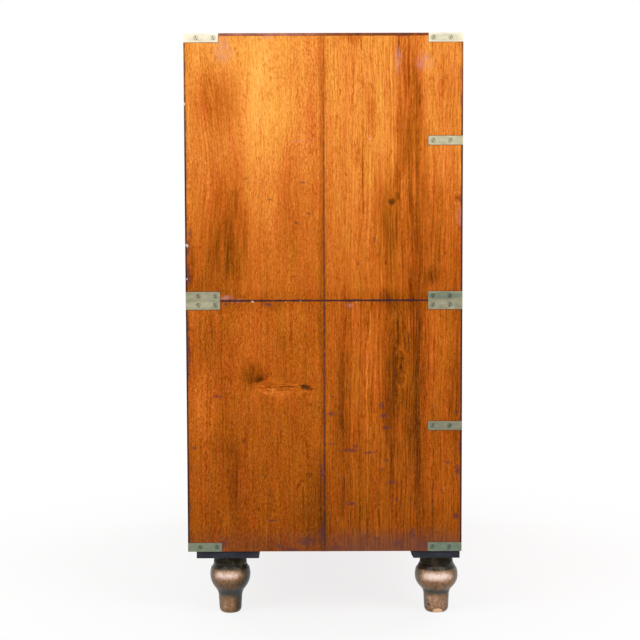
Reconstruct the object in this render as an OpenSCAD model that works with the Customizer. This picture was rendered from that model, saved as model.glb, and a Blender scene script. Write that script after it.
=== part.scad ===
/* [Case] */
// Width of the chest, left to right
case_w = 991; // [860:1:1120]
// Depth of the chest, front to back
case_d = 508; // [460:1:600]
// Height of the upper section
upper_h = 486; // [440:1:560]
// Height of the lower section
lower_h = 467; // [420:1:540]
// Height of the case's underside above the floor
base_h = 125; // [115:1:150]
// Thickness of the ends, top boards and bottom boards
board_t = 19; // [18:0.5:22]
// Thickness of the top board that laps over the ends
top_lap = 5; // [3:0.5:7]
// Thickness of the back panels
back_t = 10; // [8:0.5:14]
// How far a back panel enters the rebate in each end
back_rebate = 9; // [6:0.5:11]
// Number of boards across one back panel
back_boards = 3; // [2:1:4]
// Length of the dovetails that join the boards to the ends
case_tail_l = 12; // [8:0.5:13]
// Number of dovetails at each end of a board
case_tails = 7; // [4:1:9]
// Hairline gap between neighbouring boards
hairline = 0.1; // [0.05:0.05:0.3]

/* [Rails] */
// Thickness of the drawer rails
rail_t = 18; // [17:0.5:22]
// Depth of a drawer rail, front to back
rail_d = 62; // [50:1:90]
// From the top of the upper section down to its rail's centre
upper_rail_drop = 194; // [170:1:220]
// From the top of the lower section down to its rail's centre
lower_rail_drop = 232; // [200:1:260]
// Thickness of the dust boards
dust_t = 12; // [8:0.5:16]
// How far rails and dust boards are housed in the ends
housing = 8; // [5:0.5:12]
// Length of the rail's front edge that stops short of its housing
housing_stop = 12; // [8:0.5:20]
// Thickness of the divider between the short drawers
divider_t = 18; // [14:0.5:24]
// Thickness of the divider's tongues
tongue_t = 8; // [5:0.5:10]
// How far the divider's tongues enter the boards
tongue_l = 5; // [3:0.5:6]

/* [Drawers] */
// Thickness of the drawer fronts
front_t = 22; // [20:0.5:26]
// Thickness of the drawer sides and backs
lining_t = 10; // [8:0.5:13]
// Thickness of the drawer bottoms
bottom_t = 7; // [5:0.5:9]
// Height of a drawer bottom's underside above the drawer's lower edge
bottom_rise = 9; // [7:0.5:12]
// Depth of the grooves that hold the drawer bottoms
groove = 5; // [3:0.5:6]
// Free space behind a closed drawer
drawer_behind = 28; // [10:1:60]
// Wood left in front of the dovetails of a drawer front
blind_lap = 7; // [5:0.5:9]
// How much lower the drawer sides are than the front
side_drop = 3; // [2:0.5:8]
// Height that one dovetail of a drawer takes up
tail_pitch = 50; // [35:1:70]
// Gap at each side of a drawer front
side_gap = 1; // [0.5:0.1:2]
// Gap above a drawer front
top_gap = 1.5; // [1:0.1:2.5]
// Running gap under a drawer and behind its front
run_gap = 0.3; // [0.2:0.05:0.5]
// Height of the drawer stops
stop_h = 5; // [3:0.5:6]
// Width of a drawer stop
stop_w = 40; // [25:1:60]
// Depth of a drawer stop
stop_d = 25; // [15:1:30]

/* [Brasses] */
// Length of a brass arm on each face
strap_l = 63; // [50:1:80]
// Width of a brass arm
strap_w = 16.5; // [14:0.5:17]
// Thickness of the brasses
strap_t = 2; // [1.5:0.1:3]
// Distance of the inner screw from the end of its arm
inner_screw = 8.5; // [6:0.5:12]
// Distance of the outer screw from the corner
outer_screw = 23; // [22:0.5:28]
// Diameter of a screw's head
screw_head_d = 8; // [6:0.1:9]
// Diameter of a screw's shank
screw_d = 3.6; // [3:0.1:4.5]
// Length of a screw
screw_l = 14; // [10:0.5:16]
// Gap around a screw in its hole
screw_gap = 0.1; // [0.05:0.05:0.2]

/* [Pulls] */
// Width of a pull plate
plate_w = 92; // [80:1:110]
// Height of a pull plate
plate_h = 58; // [50:1:70]
// Thickness of the plate and the dish behind it
plate_t = 1.5; // [1.2:0.1:2.5]
// Width of the dish's mouth
dish_w = 73; // [66:1:80]
// Height of the dish's mouth
dish_h = 39; // [36:1:44]
// Depth of the dish behind the front's face
dish_d = 13.5; // [11:0.5:15]
// Thickness of the round bar of a bail handle
bail_d = 5; // [4:0.5:6]
// Outer width of a bail handle
bail_w = 58; // [50:1:60]
// From a bail's pivot down to its grip bar
bail_drop = 26; // [22:1:28]
// Radius of the bail's corners
bail_bend = 9; // [7:0.5:11]
// Diameter of a bail's pivot pins
pivot_d = 3.6; // [3:0.1:4.4]
// Radial gap between a pivot pin and its ear
pivot_gap = 0.05; // [0.02:0.01:0.1]
// Diameter of the ears that hold the pins
ear_d = 6.8; // [6:0.1:7]
// Gap between a bail's legs and the ears
ear_gap = 0.3; // [0.2:0.05:0.5]
// Gap between the ears and the upper edge of the dish
ear_top_gap = 2.5; // [1:0.5:4]
// Distance of a plate's pins from its edges
plate_pin_in = 5; // [4:0.5:6]
// Diameter of a plate pin's head
plate_pin_head_d = 5.4; // [4:0.1:6]
// Diameter of a plate pin's shank
plate_pin_d = 2.2; // [1.8:0.1:2.6]
// Length of a plate pin
plate_pin_l = 11; // [8:0.5:14]
// Distance of a long drawer's pulls from its centre
pull_reach = 245; // [180:1:300]

/* [Locks] */
// Width of a lock's case
lock_w = 56; // [44:1:70]
// Height of a lock's case
lock_h = 42; // [36:1:50]
// Depth of a lock's case
lock_d = 10; // [9:0.5:12]
// Width of a lock bolt
bolt_w = 24; // [16:1:30]
// Thickness of a lock bolt
bolt_t = 5; // [4:0.5:6]
// Length of a lock bolt
bolt_l = 20; // [14:1:24]
// How far a lock bolt rises
bolt_throw = 7; // [4:0.5:8]
// Gap around a lock bolt
bolt_gap = 0.4; // [0.2:0.05:0.8]
// How far a lock's top plate reaches past each side of its case
selvage_over = 7; // [4:0.5:10]
// Thickness of a lock's top plate
selvage_t = 1.5; // [1:0.1:2.5]
// From the top of a drawer front down to its keyhole
keyhole_drop = 23; // [22:1:26]
// Radius of a keyhole
keyhole_r = 2.4; // [2:0.1:2.8]
// Height of a keyhole's slot under its round
keyhole_slot = 6; // [4:0.5:8]
// Depth of a keyhole's brass liner
liner_d = 3; // [2:0.5:5]
// Thickness of a keyhole's brass liner
liner_t = 1.6; // [1:0.1:2]

/* [Pegs] */
// Diameter of the locating pegs
peg_d = 24; // [18:1:30]
// How far a peg stands above the lower section
peg_h = 14; // [8:0.5:15]
// How deep a peg is set into the lower section
peg_set = 12; // [8:0.5:15]
// Gap around a peg in its socket
peg_gap = 0.8; // [0.4:0.1:1.5]
// Distance of the pegs from the ends of the case
peg_in_x = 90; // [60:1:150]
// Distance of the pegs from the front and back of the case
peg_in_y = 90; // [70:1:150]

/* [Feet] */
// Thickness of the front blocks
front_block_t = 14; // [12:0.5:16]
// Length of the front blocks, front to back
front_block_l = 92; // [84:1:110]
// Distance of the front blocks from the case's front
front_block_in = 3; // [0:0.5:10]
// Distance of the front feet's axes from the case's front
front_foot_in = 43.5; // [43:0.5:60]
// Thickness of the rear blocks
rear_block_t = 13.5; // [12:0.5:16]
// Length of the rear blocks, front to back
rear_block_l = 116; // [96:1:120]
// Distance of the rear blocks from the case's back
rear_block_in = 15.5; // [0:0.5:30]
// Distance of the rear feet's axes from the case's back
rear_foot_in = 75.5; // [60:0.5:90]
// Width of the blocks, left to right
block_w = 92; // [84:1:120]
// Distance of the blocks from the case's ends
block_in = 4; // [0:0.5:10]
// How far the front blocks slope in at their inner ends
block_slope = 6; // [2:0.5:10]
// Radius of the front feet's balls
front_ball_r = 40.5; // [34:0.5:42]
// Height of the front feet's balls
front_ball_z = 70; // [66:0.5:72]
// Radius of the front feet's stems
front_stem_r = 23; // [19:0.5:24]
// Height at which the front feet's stems begin to swell
front_stem_z = 31; // [28:0.5:36]
// Height of the lower half of a front foot's ball, as a share of the ball's radius
front_squat = 0.85; // [0.8:0.01:1.05]
// Radius of the rear feet's balls
rear_ball_r = 38; // [34:0.5:42]
// Height of the rear feet's balls
rear_ball_z = 73; // [70:0.5:75]
// Radius of the rear feet's stems
rear_stem_r = 21; // [18:0.5:22]
// Height at which the rear feet's stems begin to swell
rear_stem_z = 27; // [20:0.5:30]
// Height of the lower half of a rear foot's ball, as a share of the ball's radius
rear_squat = 1.03; // [0.8:0.01:1.05]
// Diameter of the spigots on top of the feet
spigot_d = 32; // [24:1:38]
// How far the spigots enter the case's bottom board
spigot_in = 12; // [8:0.5:16]
// Radial gap around a spigot
spigot_gap = 0.08; // [0.03:0.01:0.1]

/* [Hidden] */
$fn = 48;
// How far a cut runs past the face that it opens
over = 1;
half_w = case_w / 2;
inner_w = half_w - board_t;
front_y = -case_d / 2;
back_y = case_d / 2;
seam_z = base_h + lower_h;
top_z = seam_z + upper_h;
rail_z = [seam_z - lower_rail_drop - rail_t / 2, top_z - upper_rail_drop - rail_t / 2];
section_z = [base_h, seam_z];
section_top = [seam_z, top_z];
section_lap = [0, top_lap];
LOWER = 0;
UPPER = 1;

// Openings of the drawers: left, right, floor and ceiling
openings = [
  [-inner_w, -divider_t / 2, rail_z[UPPER] + rail_t, top_z - board_t],
  [divider_t / 2, inner_w, rail_z[UPPER] + rail_t, top_z - board_t],
  [-inner_w, inner_w, seam_z + board_t, rail_z[UPPER]],
  [-inner_w, inner_w, rail_z[LOWER] + rail_t, seam_z - board_t],
  [-inner_w, inner_w, base_h + board_t, rail_z[LOWER]]
];
TOP_LEFT = 0;
TOP_RIGHT = 1;
SECOND = 2;
THIRD = 3;
BOTTOM = 4;

// Edges of a drawer front, from its opening and its gaps
function left_x(i) = openings[i][0] + side_gap;
function right_x(i) = openings[i][1] - side_gap;
function low_z(i) = openings[i][2] + run_gap;
function high_z(i) = openings[i][3] - top_gap;
function mid_x(i) = (left_x(i) + right_x(i)) / 2;
function mid_z(i) = (low_z(i) + high_z(i)) / 2;
function pull_xs(i) = i <= TOP_RIGHT ? [mid_x(i)] : [-pull_reach, pull_reach];
drawer_back_y = back_y - back_t - drawer_behind;
front_back_y = front_y + front_t;

// Turn of the screws' slots
strap_screw_turn = 25;
plate_pin_turn = 40;

// Bail handle and its dish
bail_r = bail_d / 2;
pivot_y = front_y + ear_d / 2 + run_gap;
pivot_up = dish_h / 2 - ear_d / 2 - ear_top_gap;
leg_x = bail_w / 2 - bail_r;
ear_w = dish_w / 2 - bail_w / 2 - ear_gap;
pin_l = ear_w - 1;
boss_d = bail_d + 1;

// Lock bolt, a little ahead of the middle of its case
bolt_ahead = 0.5;
bolt_y = front_back_y - lock_d / 2 - bolt_ahead;

// Share of its pitch that a dovetail takes up, at its root and at its tip
case_tail_share = [0.4, 0.6];
drawer_tail_share = [0.48, 0.64];

// Colours of the finishes
TEAK = "#b4622a";
LINING = "#d9b27c";
EBONISED = "#2a2326";
TURNED = "#8a5f3e";
BRASS = "#b8a568";
STEEL = "#6f7072";

// A block between two corners
module slab(low, high) {
  translate(low)
    cube(high - low);
}

// The same thing at the left and at the right end
module both_ends() {
  children();
  mirror([1, 0, 0])
    children();
}

// ---- Case boards ----

// Dovetails on the right end of a board that lies between the ends
module end_tails(z, t) {
  pitch = (case_d - 2 * strap_w) / case_tails;
  root = pitch * case_tail_share[0] / 2;
  tip = pitch * case_tail_share[1] / 2;
  for (i = [0 : case_tails - 1])
    translate([inner_w, front_y + strap_w + (i + 0.5) * pitch, z])
      linear_extrude(t)
        polygon([
          [0, -root],
          [case_tail_l, -tip],
          [case_tail_l, tip],
          [0, root]
        ]);
}

// Top board of a section before anything is cut in it
module top_blank(section) {
  top = section_top[section];
  lap = section_lap[section];
  slab([-inner_w, front_y, top - board_t], [inner_w, back_y, top]);
  both_ends()
    end_tails(top - board_t, board_t - lap);
  if (lap > 0)
    slab([-half_w, front_y, top - lap], [half_w, back_y, top]);
}

// Bottom board of a section: the back panel covers its rear edge
module bottom_blank(section) {
  z = section_z[section];
  slab([-inner_w, front_y, z], [inner_w, back_y - back_t, z + board_t]);
  both_ends()
    intersection() {
      end_tails(z, board_t);
      slab([0, front_y, z], [half_w, back_y - back_t, z + board_t]);
    }
}

// Back panel of boards laid across, in the rebates of the ends
module back_blank(section) {
  low = section_z[section];
  high = section_top[section] - board_t;
  step = (high - low) / back_boards;
  reach = inner_w + back_rebate;
  for (i = [0 : back_boards - 1])
    slab(
      [-reach, back_y - back_t, low + i * step + (i > 0 ? hairline : 0)],
      [reach, back_y, low + (i + 1) * step]
    );
}

// Drawer rail, its ends housed behind the front edges of the ends
module rail_blank(section) {
  z = rail_z[section];
  slab([-inner_w, front_y, z], [inner_w, front_y + rail_d, z + rail_t]);
  slab(
    [-inner_w - housing, front_y + housing_stop, z],
    [inner_w + housing, front_y + rail_d, z + rail_t]
  );
}

// Dust board behind the rail, flush with the rail's top
module dust_blank(section) {
  high = rail_z[section] + rail_t;
  slab(
    [-inner_w - housing, front_y + rail_d, high - dust_t],
    [inner_w + housing, back_y - back_t, high]
  );
}

// Divider between the short drawers, tongued into the boards above and below
module divider_blank() {
  low = rail_z[UPPER] + rail_t;
  high = top_z - board_t;
  slab([-divider_t / 2, front_y, low], [divider_t / 2, back_y - back_t, high]);
  slab(
    [-tongue_t / 2, front_y + housing_stop, low - tongue_l],
    [tongue_t / 2, back_y - back_t, high + tongue_l]
  );
}

// ---- Brasses ----

// Where the brasses of a section sit: 1 at the front, -1 at the back, and the lower edge of the arm
function strap_places(section) = [
  for (z = [section_z[section], section_top[section] - strap_w], face = [1, -1]) [face, z],
  [1, rail_z[section] + rail_t / 2 - strap_w / 2]
];

// One brass bent round the right-hand corner at the front
module strap_blank(z) {
  slab([half_w - strap_t, front_y, z], [half_w, front_y + strap_l, z + strap_w]);
  slab([half_w - strap_l, front_y, z], [half_w, front_y + strap_t, z + strap_w]);
}

// The return of a top corner brass on the top of the case
module top_return() {
  slab([half_w - strap_w, front_y, top_z - strap_t], [half_w, front_y + strap_l, top_z]);
  slab([half_w - strap_l, front_y, top_z - strap_t], [half_w, front_y + strap_w, top_z]);
}

// All brasses of a section, as they are let into the wood
module strap_blanks(section) {
  both_ends() {
    for (place = strap_places(section))
      on_face(place[0])
        strap_blank(place[1]);
    if (section == UPPER)
      for (face = [1, -1])
        on_face(face)
          top_return();
  }
}

// Turns a front corner into a back corner
module on_face(face) {
  if (face > 0)
    children();
  else
    mirror([0, 1, 0])
      children();
}

// A countersunk screw, or its hole when gap is over zero, with its head at z = 0 and pointing down
module screw(head_d, shank_d, length, gap) {
  head_h = (head_d - shank_d) / 2;
  translate([0, 0, -length])
    cylinder(d = shank_d + 2 * gap, h = length);
  translate([0, 0, -head_h])
    cylinder(d1 = shank_d + 2 * gap, d2 = head_d + 2 * gap, h = head_h);
}

// A screw with the slot across its head
module slotted_screw(head_d, shank_d, length, turn) {
  slot_w = head_d * 0.14;
  slot_d = head_d * 0.12;
  difference() {
    screw(head_d, shank_d, length, 0);
    rotate([0, 0, turn])
      translate([-head_d, -slot_w / 2, -slot_d])
        cube([2 * head_d, slot_w, 2 * slot_d]);
  }
}

// Puts a child, which points down, at each screw of a brass bent round the front right corner
module at_strap_screws(z) {
  for (run = [outer_screw, strap_l - inner_screw]) {
    translate([half_w, front_y + run, z + strap_w / 2])
      rotate([0, 90, 0])
        children();
    translate([half_w - run, front_y, z + strap_w / 2])
      rotate([90, 0, 0])
        children();
  }
}

// Puts a child at each screw of a top return
module at_return_screws() {
  translate([half_w - strap_l + inner_screw, front_y + strap_w / 2, top_z])
    children();
  translate([half_w - strap_w / 2, front_y + strap_l - inner_screw, top_z])
    children();
}

// Puts a child at every screw of a section's brasses
module at_section_screws(section) {
  both_ends() {
    for (place = strap_places(section))
      on_face(place[0])
        at_strap_screws(place[1])
          children();
    if (section == UPPER)
      for (face = [1, -1])
        on_face(face)
          at_return_screws()
            children();
  }
}

// What the brasses and their screws take out of the wood
module brass_cuts(section) {
  strap_blanks(section);
  at_section_screws(section)
    screw(screw_head_d, screw_d, screw_l, screw_gap);
}

module brass_straps(section) {
  color(BRASS)
    difference() {
      strap_blanks(section);
      at_section_screws(section)
        screw(screw_head_d, screw_d, screw_l, screw_gap);
    }
}

module strap_screws(section) {
  color(STEEL)
    at_section_screws(section)
      slotted_screw(screw_head_d, screw_d, screw_l, strap_screw_turn);
}

// ---- Case pieces ----

module top_board(section) {
  color(TEAK)
    difference() {
      top_blank(section);
      brass_cuts(section);
      if (section == UPPER) {
        divider_blank();
        bolt_mortise(TOP_LEFT);
        bolt_mortise(TOP_RIGHT);
      } else {
        bolt_mortise(THIRD);
        at_pegs()
          translate([0, 0, -peg_set])
            cylinder(d = peg_d, h = peg_set + over);
      }
    }
}

module bottom_board(section) {
  color(TEAK)
    difference() {
      bottom_blank(section);
      brass_cuts(section);
      if (section == UPPER)
        at_pegs()
          cylinder(d = peg_d + 2 * peg_gap, h = peg_h + over);
      else
        for (foot = feet)
          translate([foot[0], foot[1], base_h - over])
            cylinder(d = spigot_d + 2 * spigot_gap, h = spigot_in + 1.5 * over);
    }
}

module back_panel(section) {
  color(LINING)
    difference() {
      back_blank(section);
      brass_cuts(section);
    }
}

module drawer_rail(section) {
  color(TEAK)
    difference() {
      rail_blank(section);
      brass_cuts(section);
      bolt_mortise(section == UPPER ? SECOND : BOTTOM);
      if (section == UPPER)
        divider_blank();
    }
}

module dust_board(section) {
  color(LINING)
    difference() {
      dust_blank(section);
      if (section == UPPER)
        divider_blank();
    }
}

// Right-hand end of a section: two boards glued edge to edge
module right_side(section) {
  low = section_z[section];
  high = section_top[section] - section_lap[section];
  for (edge = [[front_y, -hairline / 2], [hairline / 2, back_y]])
    difference() {
      slab([inner_w, edge[0], low], [half_w, edge[1], high]);
      top_blank(section);
      bottom_blank(section);
      back_blank(section);
      rail_blank(section);
      dust_blank(section);
      brass_cuts(section);
    }
}

module side(section, hand) {
  color(TEAK)
    if (hand > 0)
      right_side(section);
    else
      mirror([1, 0, 0])
        right_side(section);
}

module divider() {
  color(TEAK)
    divider_blank();
}

// Stops that a drawer front closes against, on the floor of its opening
module stops(i, xs) {
  y = front_back_y + run_gap;
  for (x = xs)
    slab(
      [x - stop_w / 2, y, openings[i][2]],
      [x + stop_w / 2, y + stop_d, openings[i][2] + stop_h]
    );
}

module drawer_stops(section) {
  long_xs = [-pull_reach, pull_reach];
  color(LINING)
    if (section == UPPER) {
      stops(TOP_LEFT, [mid_x(TOP_LEFT)]);
      stops(TOP_RIGHT, [mid_x(TOP_RIGHT)]);
      stops(SECOND, long_xs);
    } else {
      stops(THIRD, long_xs);
      stops(BOTTOM, long_xs);
    }
}

module at_pegs() {
  for (sx = [-1, 1], sy = [-1, 1])
    translate([sx * (half_w - peg_in_x), sy * (case_d / 2 - peg_in_y), seam_z])
      children();
}

module locating_pegs() {
  chamfer = 2;
  color(LINING)
    at_pegs() {
      translate([0, 0, -peg_set])
        cylinder(d = peg_d, h = peg_set + peg_h - chamfer);
      translate([0, 0, peg_h - chamfer])
        cylinder(d1 = peg_d, d2 = peg_d - 2 * chamfer, h = chamfer);
    }
}

// ---- Feet ----

// Each foot: axis x and y, then its block's thickness
feet = [
  for (sx = [-1, 1], front = [true, false])
    [
      sx * (half_w - block_in - block_w / 2),
      front ? front_y + front_foot_in : back_y - rear_foot_in,
      front ? front_block_t : rear_block_t
    ]
];

// Outline of a front block from the side: the inner end slopes
front_block_outline = [
  [front_y + front_block_in, base_h],
  [front_y + front_block_in, base_h - front_block_t],
  [front_y + front_block_in + front_block_l - block_slope, base_h - front_block_t],
  [front_y + front_block_in + front_block_l - block_slope / 3, base_h - front_block_t / 2],
  [front_y + front_block_in + front_block_l, base_h]
];

module foot_blocks() {
  left = half_w - block_in - block_w;
  color(EBONISED)
    difference() {
      both_ends() {
        translate([left, 0, 0])
          rotate([90, 0, 90])
            linear_extrude(block_w)
              polygon(front_block_outline);
        slab(
          [left, back_y - rear_block_in - rear_block_l, base_h - rear_block_t],
          [left + block_w, back_y - rear_block_in, base_h]
        );
      }
      for (foot = feet)
        translate([foot[0], foot[1], base_h - foot[2] - over])
          cylinder(d = spigot_d + 2 * spigot_gap, h = foot[2] + 2 * over);
    }
}

// Points on a circle of radius r about height z
function arc(r, z, from, to, steps) = [
  for (i = [0 : steps])
    let (a = from + (to - from) * i / steps)
      [r * cos(a), z + r * sin(a)]
];

// A turned foot: rounded toe, stem, ball with a turned step near its top, neck and spigot.
// squat is the height of the ball's lower half as a share of its radius.
module turned_foot(height, ball_r, ball_z, stem_r, stem_z, block, squat) {
  toe_h = 10;
  toe_in = 7;
  swell_r = stem_r + 1;
  waist_r = ball_r * 0.75;
  waist_drop = squat * sqrt(ball_r * ball_r - waist_r * waist_r);
  waist_z = ball_z - waist_drop;
  waist_slope = waist_drop / (squat * squat * waist_r);
  flare = waist_slope * (waist_z - stem_z) / (waist_r - swell_r);
  step_z = ball_z + ball_r / 3;
  step = 1;
  neck_r = 30.5;
  neck_z = height - 10;
  spigot_top = height + block + spigot_in;
  toe = [
    for (i = [0 : 6])
      let (a = i * 15)
        [stem_r - toe_in + toe_in * sin(a), toe_h - toe_h * cos(a)]
  ];
  swell = [
    for (i = [0 : 8])
      let (t = i / 8)
        [swell_r + (waist_r - swell_r) * pow(t, flare), stem_z + (waist_z - stem_z) * t]
  ];
  round = arc(ball_r, 0, -acos(waist_r / ball_r), asin((step_z - ball_z) / ball_r), 18);
  ball = [for (point = round) [point[0], ball_z + point[1] * (point[1] < 0 ? squat : 1)]];
  crown_r = ball_r - step;
  crown_end = acos((neck_r + 1) / crown_r);
  crown = arc(crown_r, ball_z, asin((step_z - ball_z) / crown_r), crown_end, 6);
  neck = [
    [neck_r, max(neck_z, ball_z + crown_r * sin(crown_end) + 0.5)],
    [neck_r, height - 3],
    [neck_r + 1.5, height],
    [spigot_d / 2, height],
    [spigot_d / 2, spigot_top]
  ];
  color(TURNED)
    rotate_extrude($fn = 96)
      polygon(concat([[0, 0]], toe, swell, ball, crown, neck, [[0, spigot_top]]));
}

module front_foot(hand) {
  translate([hand * (half_w - block_in - block_w / 2), front_y + front_foot_in, 0])
    turned_foot(
      base_h - front_block_t, front_ball_r, front_ball_z, front_stem_r, front_stem_z,
      front_block_t, front_squat
    );
}

module rear_foot(hand) {
  translate([hand * (half_w - block_in - block_w / 2), back_y - rear_foot_in, 0])
    turned_foot(
      base_h - rear_block_t, rear_ball_r, rear_ball_z, rear_stem_r, rear_stem_z,
      rear_block_t, rear_squat
    );
}

// ---- Drawers ----

// Dovetails on the end of a left drawer side, which widen along +Y from y
module side_tails(i, y, length, low, high, gap) {
  count = max(2, floor((high - low) / tail_pitch));
  pitch = (high - low) / count;
  root = pitch * drawer_tail_share[0] / 2 + gap;
  tip = pitch * drawer_tail_share[1] / 2 + gap;
  for (k = [0 : count - 1])
    translate([left_x(i), y, low + (k + 0.5) * pitch])
      rotate([90, 0, 90])
        linear_extrude(lining_t + gap)
          polygon([
            [0, -root],
            [length + gap, -tip],
            [length + gap, tip],
            [0, root]
          ]);
}

// Left side of a drawer with its dovetails at both ends, grown by a gap towards the back board
module side_blank(i, gap) {
  low = low_z(i);
  high = high_z(i) - side_drop;
  above = low + bottom_rise + bottom_t;
  shoulder = drawer_back_y - lining_t;
  slab([left_x(i), front_back_y, low], [left_x(i) + lining_t, shoulder + gap, high]);
  slab([left_x(i), shoulder, low], [left_x(i) + lining_t + gap, drawer_back_y, above + gap]);
  side_tails(i, shoulder, lining_t, above + hairline, high, gap);
  translate([0, 2 * front_back_y, 0])
    mirror([0, 1, 0])
      side_tails(i, front_back_y, front_t - blind_lap, low, high, 0);
}

// The left side of a drawer and its mirror image
module side_blanks(i, gap) {
  side_blank(i, gap);
  translate([2 * mid_x(i), 0, 0])
    mirror([1, 0, 0])
      side_blank(i, gap);
}

// Bottom of a drawer, in the grooves of the front and the sides, or its groove when gap is over zero
module bottom_panel(i, gap) {
  low = low_z(i) + bottom_rise;
  inset = lining_t - groove;
  slab(
    [left_x(i) + inset - gap, front_back_y - groove - gap, low - gap],
    [right_x(i) - inset + gap, drawer_back_y, low + bottom_t + gap]
  );
}

module drawer_box(i) {
  color(LINING) {
    difference() {
      side_blanks(i, 0);
      bottom_panel(i, hairline);
    }
    bottom_panel(i, 0);
    difference() {
      slab(
        [left_x(i), drawer_back_y - lining_t, low_z(i) + bottom_rise + bottom_t + hairline],
        [right_x(i), drawer_back_y, high_z(i) - side_drop]
      );
      side_blanks(i, hairline);
    }
  }
}

module drawer_front(i) {
  color(TEAK)
    difference() {
      slab([left_x(i), front_y, low_z(i)], [right_x(i), front_back_y, high_z(i)]);
      side_blanks(i, 0);
      bottom_panel(i, 0);
      for (x = pull_xs(i))
        translate([x, 0, mid_z(i)])
          plate_cuts();
      lock_cuts(i);
    }
}

// ---- Pulls, each drawn about its own centre ----

// Plate and dish of a pull before they are hollowed
module plate_blank() {
  slab([-plate_w / 2, front_y, -plate_h / 2], [plate_w / 2, front_y + plate_t, plate_h / 2]);
  slab(
    [-dish_w / 2 - plate_t, front_y, -dish_h / 2 - plate_t],
    [dish_w / 2 + plate_t, front_y + dish_d + plate_t, dish_h / 2 + plate_t]
  );
}

module at_plate_pins() {
  for (sx = [-1, 1], sz = [-1, 1])
    translate([sx * (plate_w / 2 - plate_pin_in), front_y, sz * (plate_h / 2 - plate_pin_in)])
      rotate([90, 0, 0])
        children();
}

module plate_pin(gap) {
  screw(plate_pin_head_d, plate_pin_d, plate_pin_l, gap);
}

module plate_cuts() {
  plate_blank();
  at_plate_pins()
    plate_pin(screw_gap);
}

// The two ears in the dish that hold the bail's pins
module ears() {
  for (hand = [-1, 1])
    translate([hand > 0 ? dish_w / 2 - ear_w : -dish_w / 2, 0, pivot_up]) {
      translate([0, pivot_y, 0])
        rotate([0, 90, 0])
          cylinder(d = ear_d, h = ear_w);
      slab([0, pivot_y, -ear_d / 2], [ear_w, front_y + dish_d, ear_d / 2]);
    }
}

module pull_plate() {
  color(BRASS) {
    difference() {
      union() {
        difference() {
          plate_blank();
          slab(
            [-dish_w / 2, front_y - over, -dish_h / 2],
            [dish_w / 2, front_y + dish_d, dish_h / 2]
          );
        }
        ears();
      }
      for (hand = [-1, 1])
        translate([hand > 0 ? dish_w / 2 - ear_w - over : -dish_w / 2, pivot_y, pivot_up])
          rotate([0, 90, 0])
            cylinder(d = pivot_d + 2 * pivot_gap, h = ear_w + over);
      at_plate_pins()
        plate_pin(screw_gap);
    }
    at_plate_pins()
      slotted_screw(plate_pin_head_d, plate_pin_d, plate_pin_l, plate_pin_turn);
  }
}

// Half of a bail handle, to the right of its middle
module half_bail() {
  low = pivot_up - bail_drop;
  bend_x = leg_x - bail_bend;
  translate([leg_x, pivot_y, low + bail_bend])
    cylinder(r = bail_r, h = bail_drop - bail_bend);
  translate([0, pivot_y, low])
    rotate([0, 90, 0])
      cylinder(r = bail_r, h = bend_x);
  translate([bend_x, pivot_y, low + bail_bend])
    rotate([90, 0, 0])
      rotate([0, 0, -90])
        rotate_extrude(angle = 90)
          translate([bail_bend, 0])
            circle(r = bail_r);
  translate([leg_x - bail_r, pivot_y, pivot_up])
    rotate([0, 90, 0])
      cylinder(d = boss_d, h = bail_d);
  translate([leg_x + bail_r, pivot_y, pivot_up])
    rotate([0, 90, 0])
      cylinder(d = pivot_d, h = pin_l);
}

module bail(i, hand) {
  x = len(pull_xs(i)) == 1 ? pull_xs(i)[0] : hand * pull_reach;
  color(BRASS)
    translate([x, 0, mid_z(i)])
      both_ends()
        half_bail();
}

module pull_plates(i) {
  for (x = pull_xs(i))
    translate([x, 0, mid_z(i)])
      pull_plate();
}

// ---- Locks ----

// Round and slot of a keyhole, grown by a rim
module keyhole_outline(rim) {
  circle(r = keyhole_r + rim);
  translate([-keyhole_r * 0.45 - rim, -keyhole_slot - rim])
    square([keyhole_r * 0.9 + 2 * rim, keyhole_slot + rim]);
}

// A keyhole that runs back from the front's face
module keyhole(i, rim, from, to) {
  translate([mid_x(i), to, high_z(i) - keyhole_drop])
    rotate([90, 0, 0])
      linear_extrude(to - from)
        keyhole_outline(rim);
}

// Case and top plate of a lock, let into the back and top of the front
module lock_blank(i) {
  slab(
    [mid_x(i) - lock_w / 2, front_back_y - lock_d, high_z(i) - lock_h],
    [mid_x(i) + lock_w / 2, front_back_y, high_z(i)]
  );
  reach = lock_w / 2 + selvage_over;
  slab(
    [mid_x(i) - reach, front_back_y - lock_d, high_z(i) - selvage_t],
    [mid_x(i) + reach, front_back_y, high_z(i)]
  );
}

module lock_cuts(i) {
  lock_blank(i);
  keyhole(i, liner_t, front_y - over, front_y + liner_d);
  keyhole(i, 0, front_y - over, front_back_y - lock_d / 2);
}

// A lock bolt, or the room around it when gap is over zero
module bolt_block(i, gap, rise) {
  slab(
    [mid_x(i) - bolt_w / 2 - gap, bolt_y - bolt_t / 2 - gap, high_z(i) - bolt_l - gap],
    [mid_x(i) + bolt_w / 2 + gap, bolt_y + bolt_t / 2 + gap, high_z(i) + rise]
  );
}

module lock(i) {
  color(BRASS) {
    difference() {
      lock_blank(i);
      bolt_block(i, bolt_gap, over);
      keyhole(i, 0, front_back_y - lock_d - over, front_back_y - lock_d / 2);
    }
    difference() {
      keyhole(i, liner_t, front_y, front_y + liner_d);
      keyhole(i, 0, front_y - over, front_y + liner_d + over);
    }
  }
}

module lock_bolt(i) {
  color(STEEL)
    bolt_block(i, 0, 0);
}

// Mortise in the board above a drawer, for its raised bolt
module bolt_mortise(i) {
  bolt_block(i, 2 * bolt_gap, bolt_throw + over);
}

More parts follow.
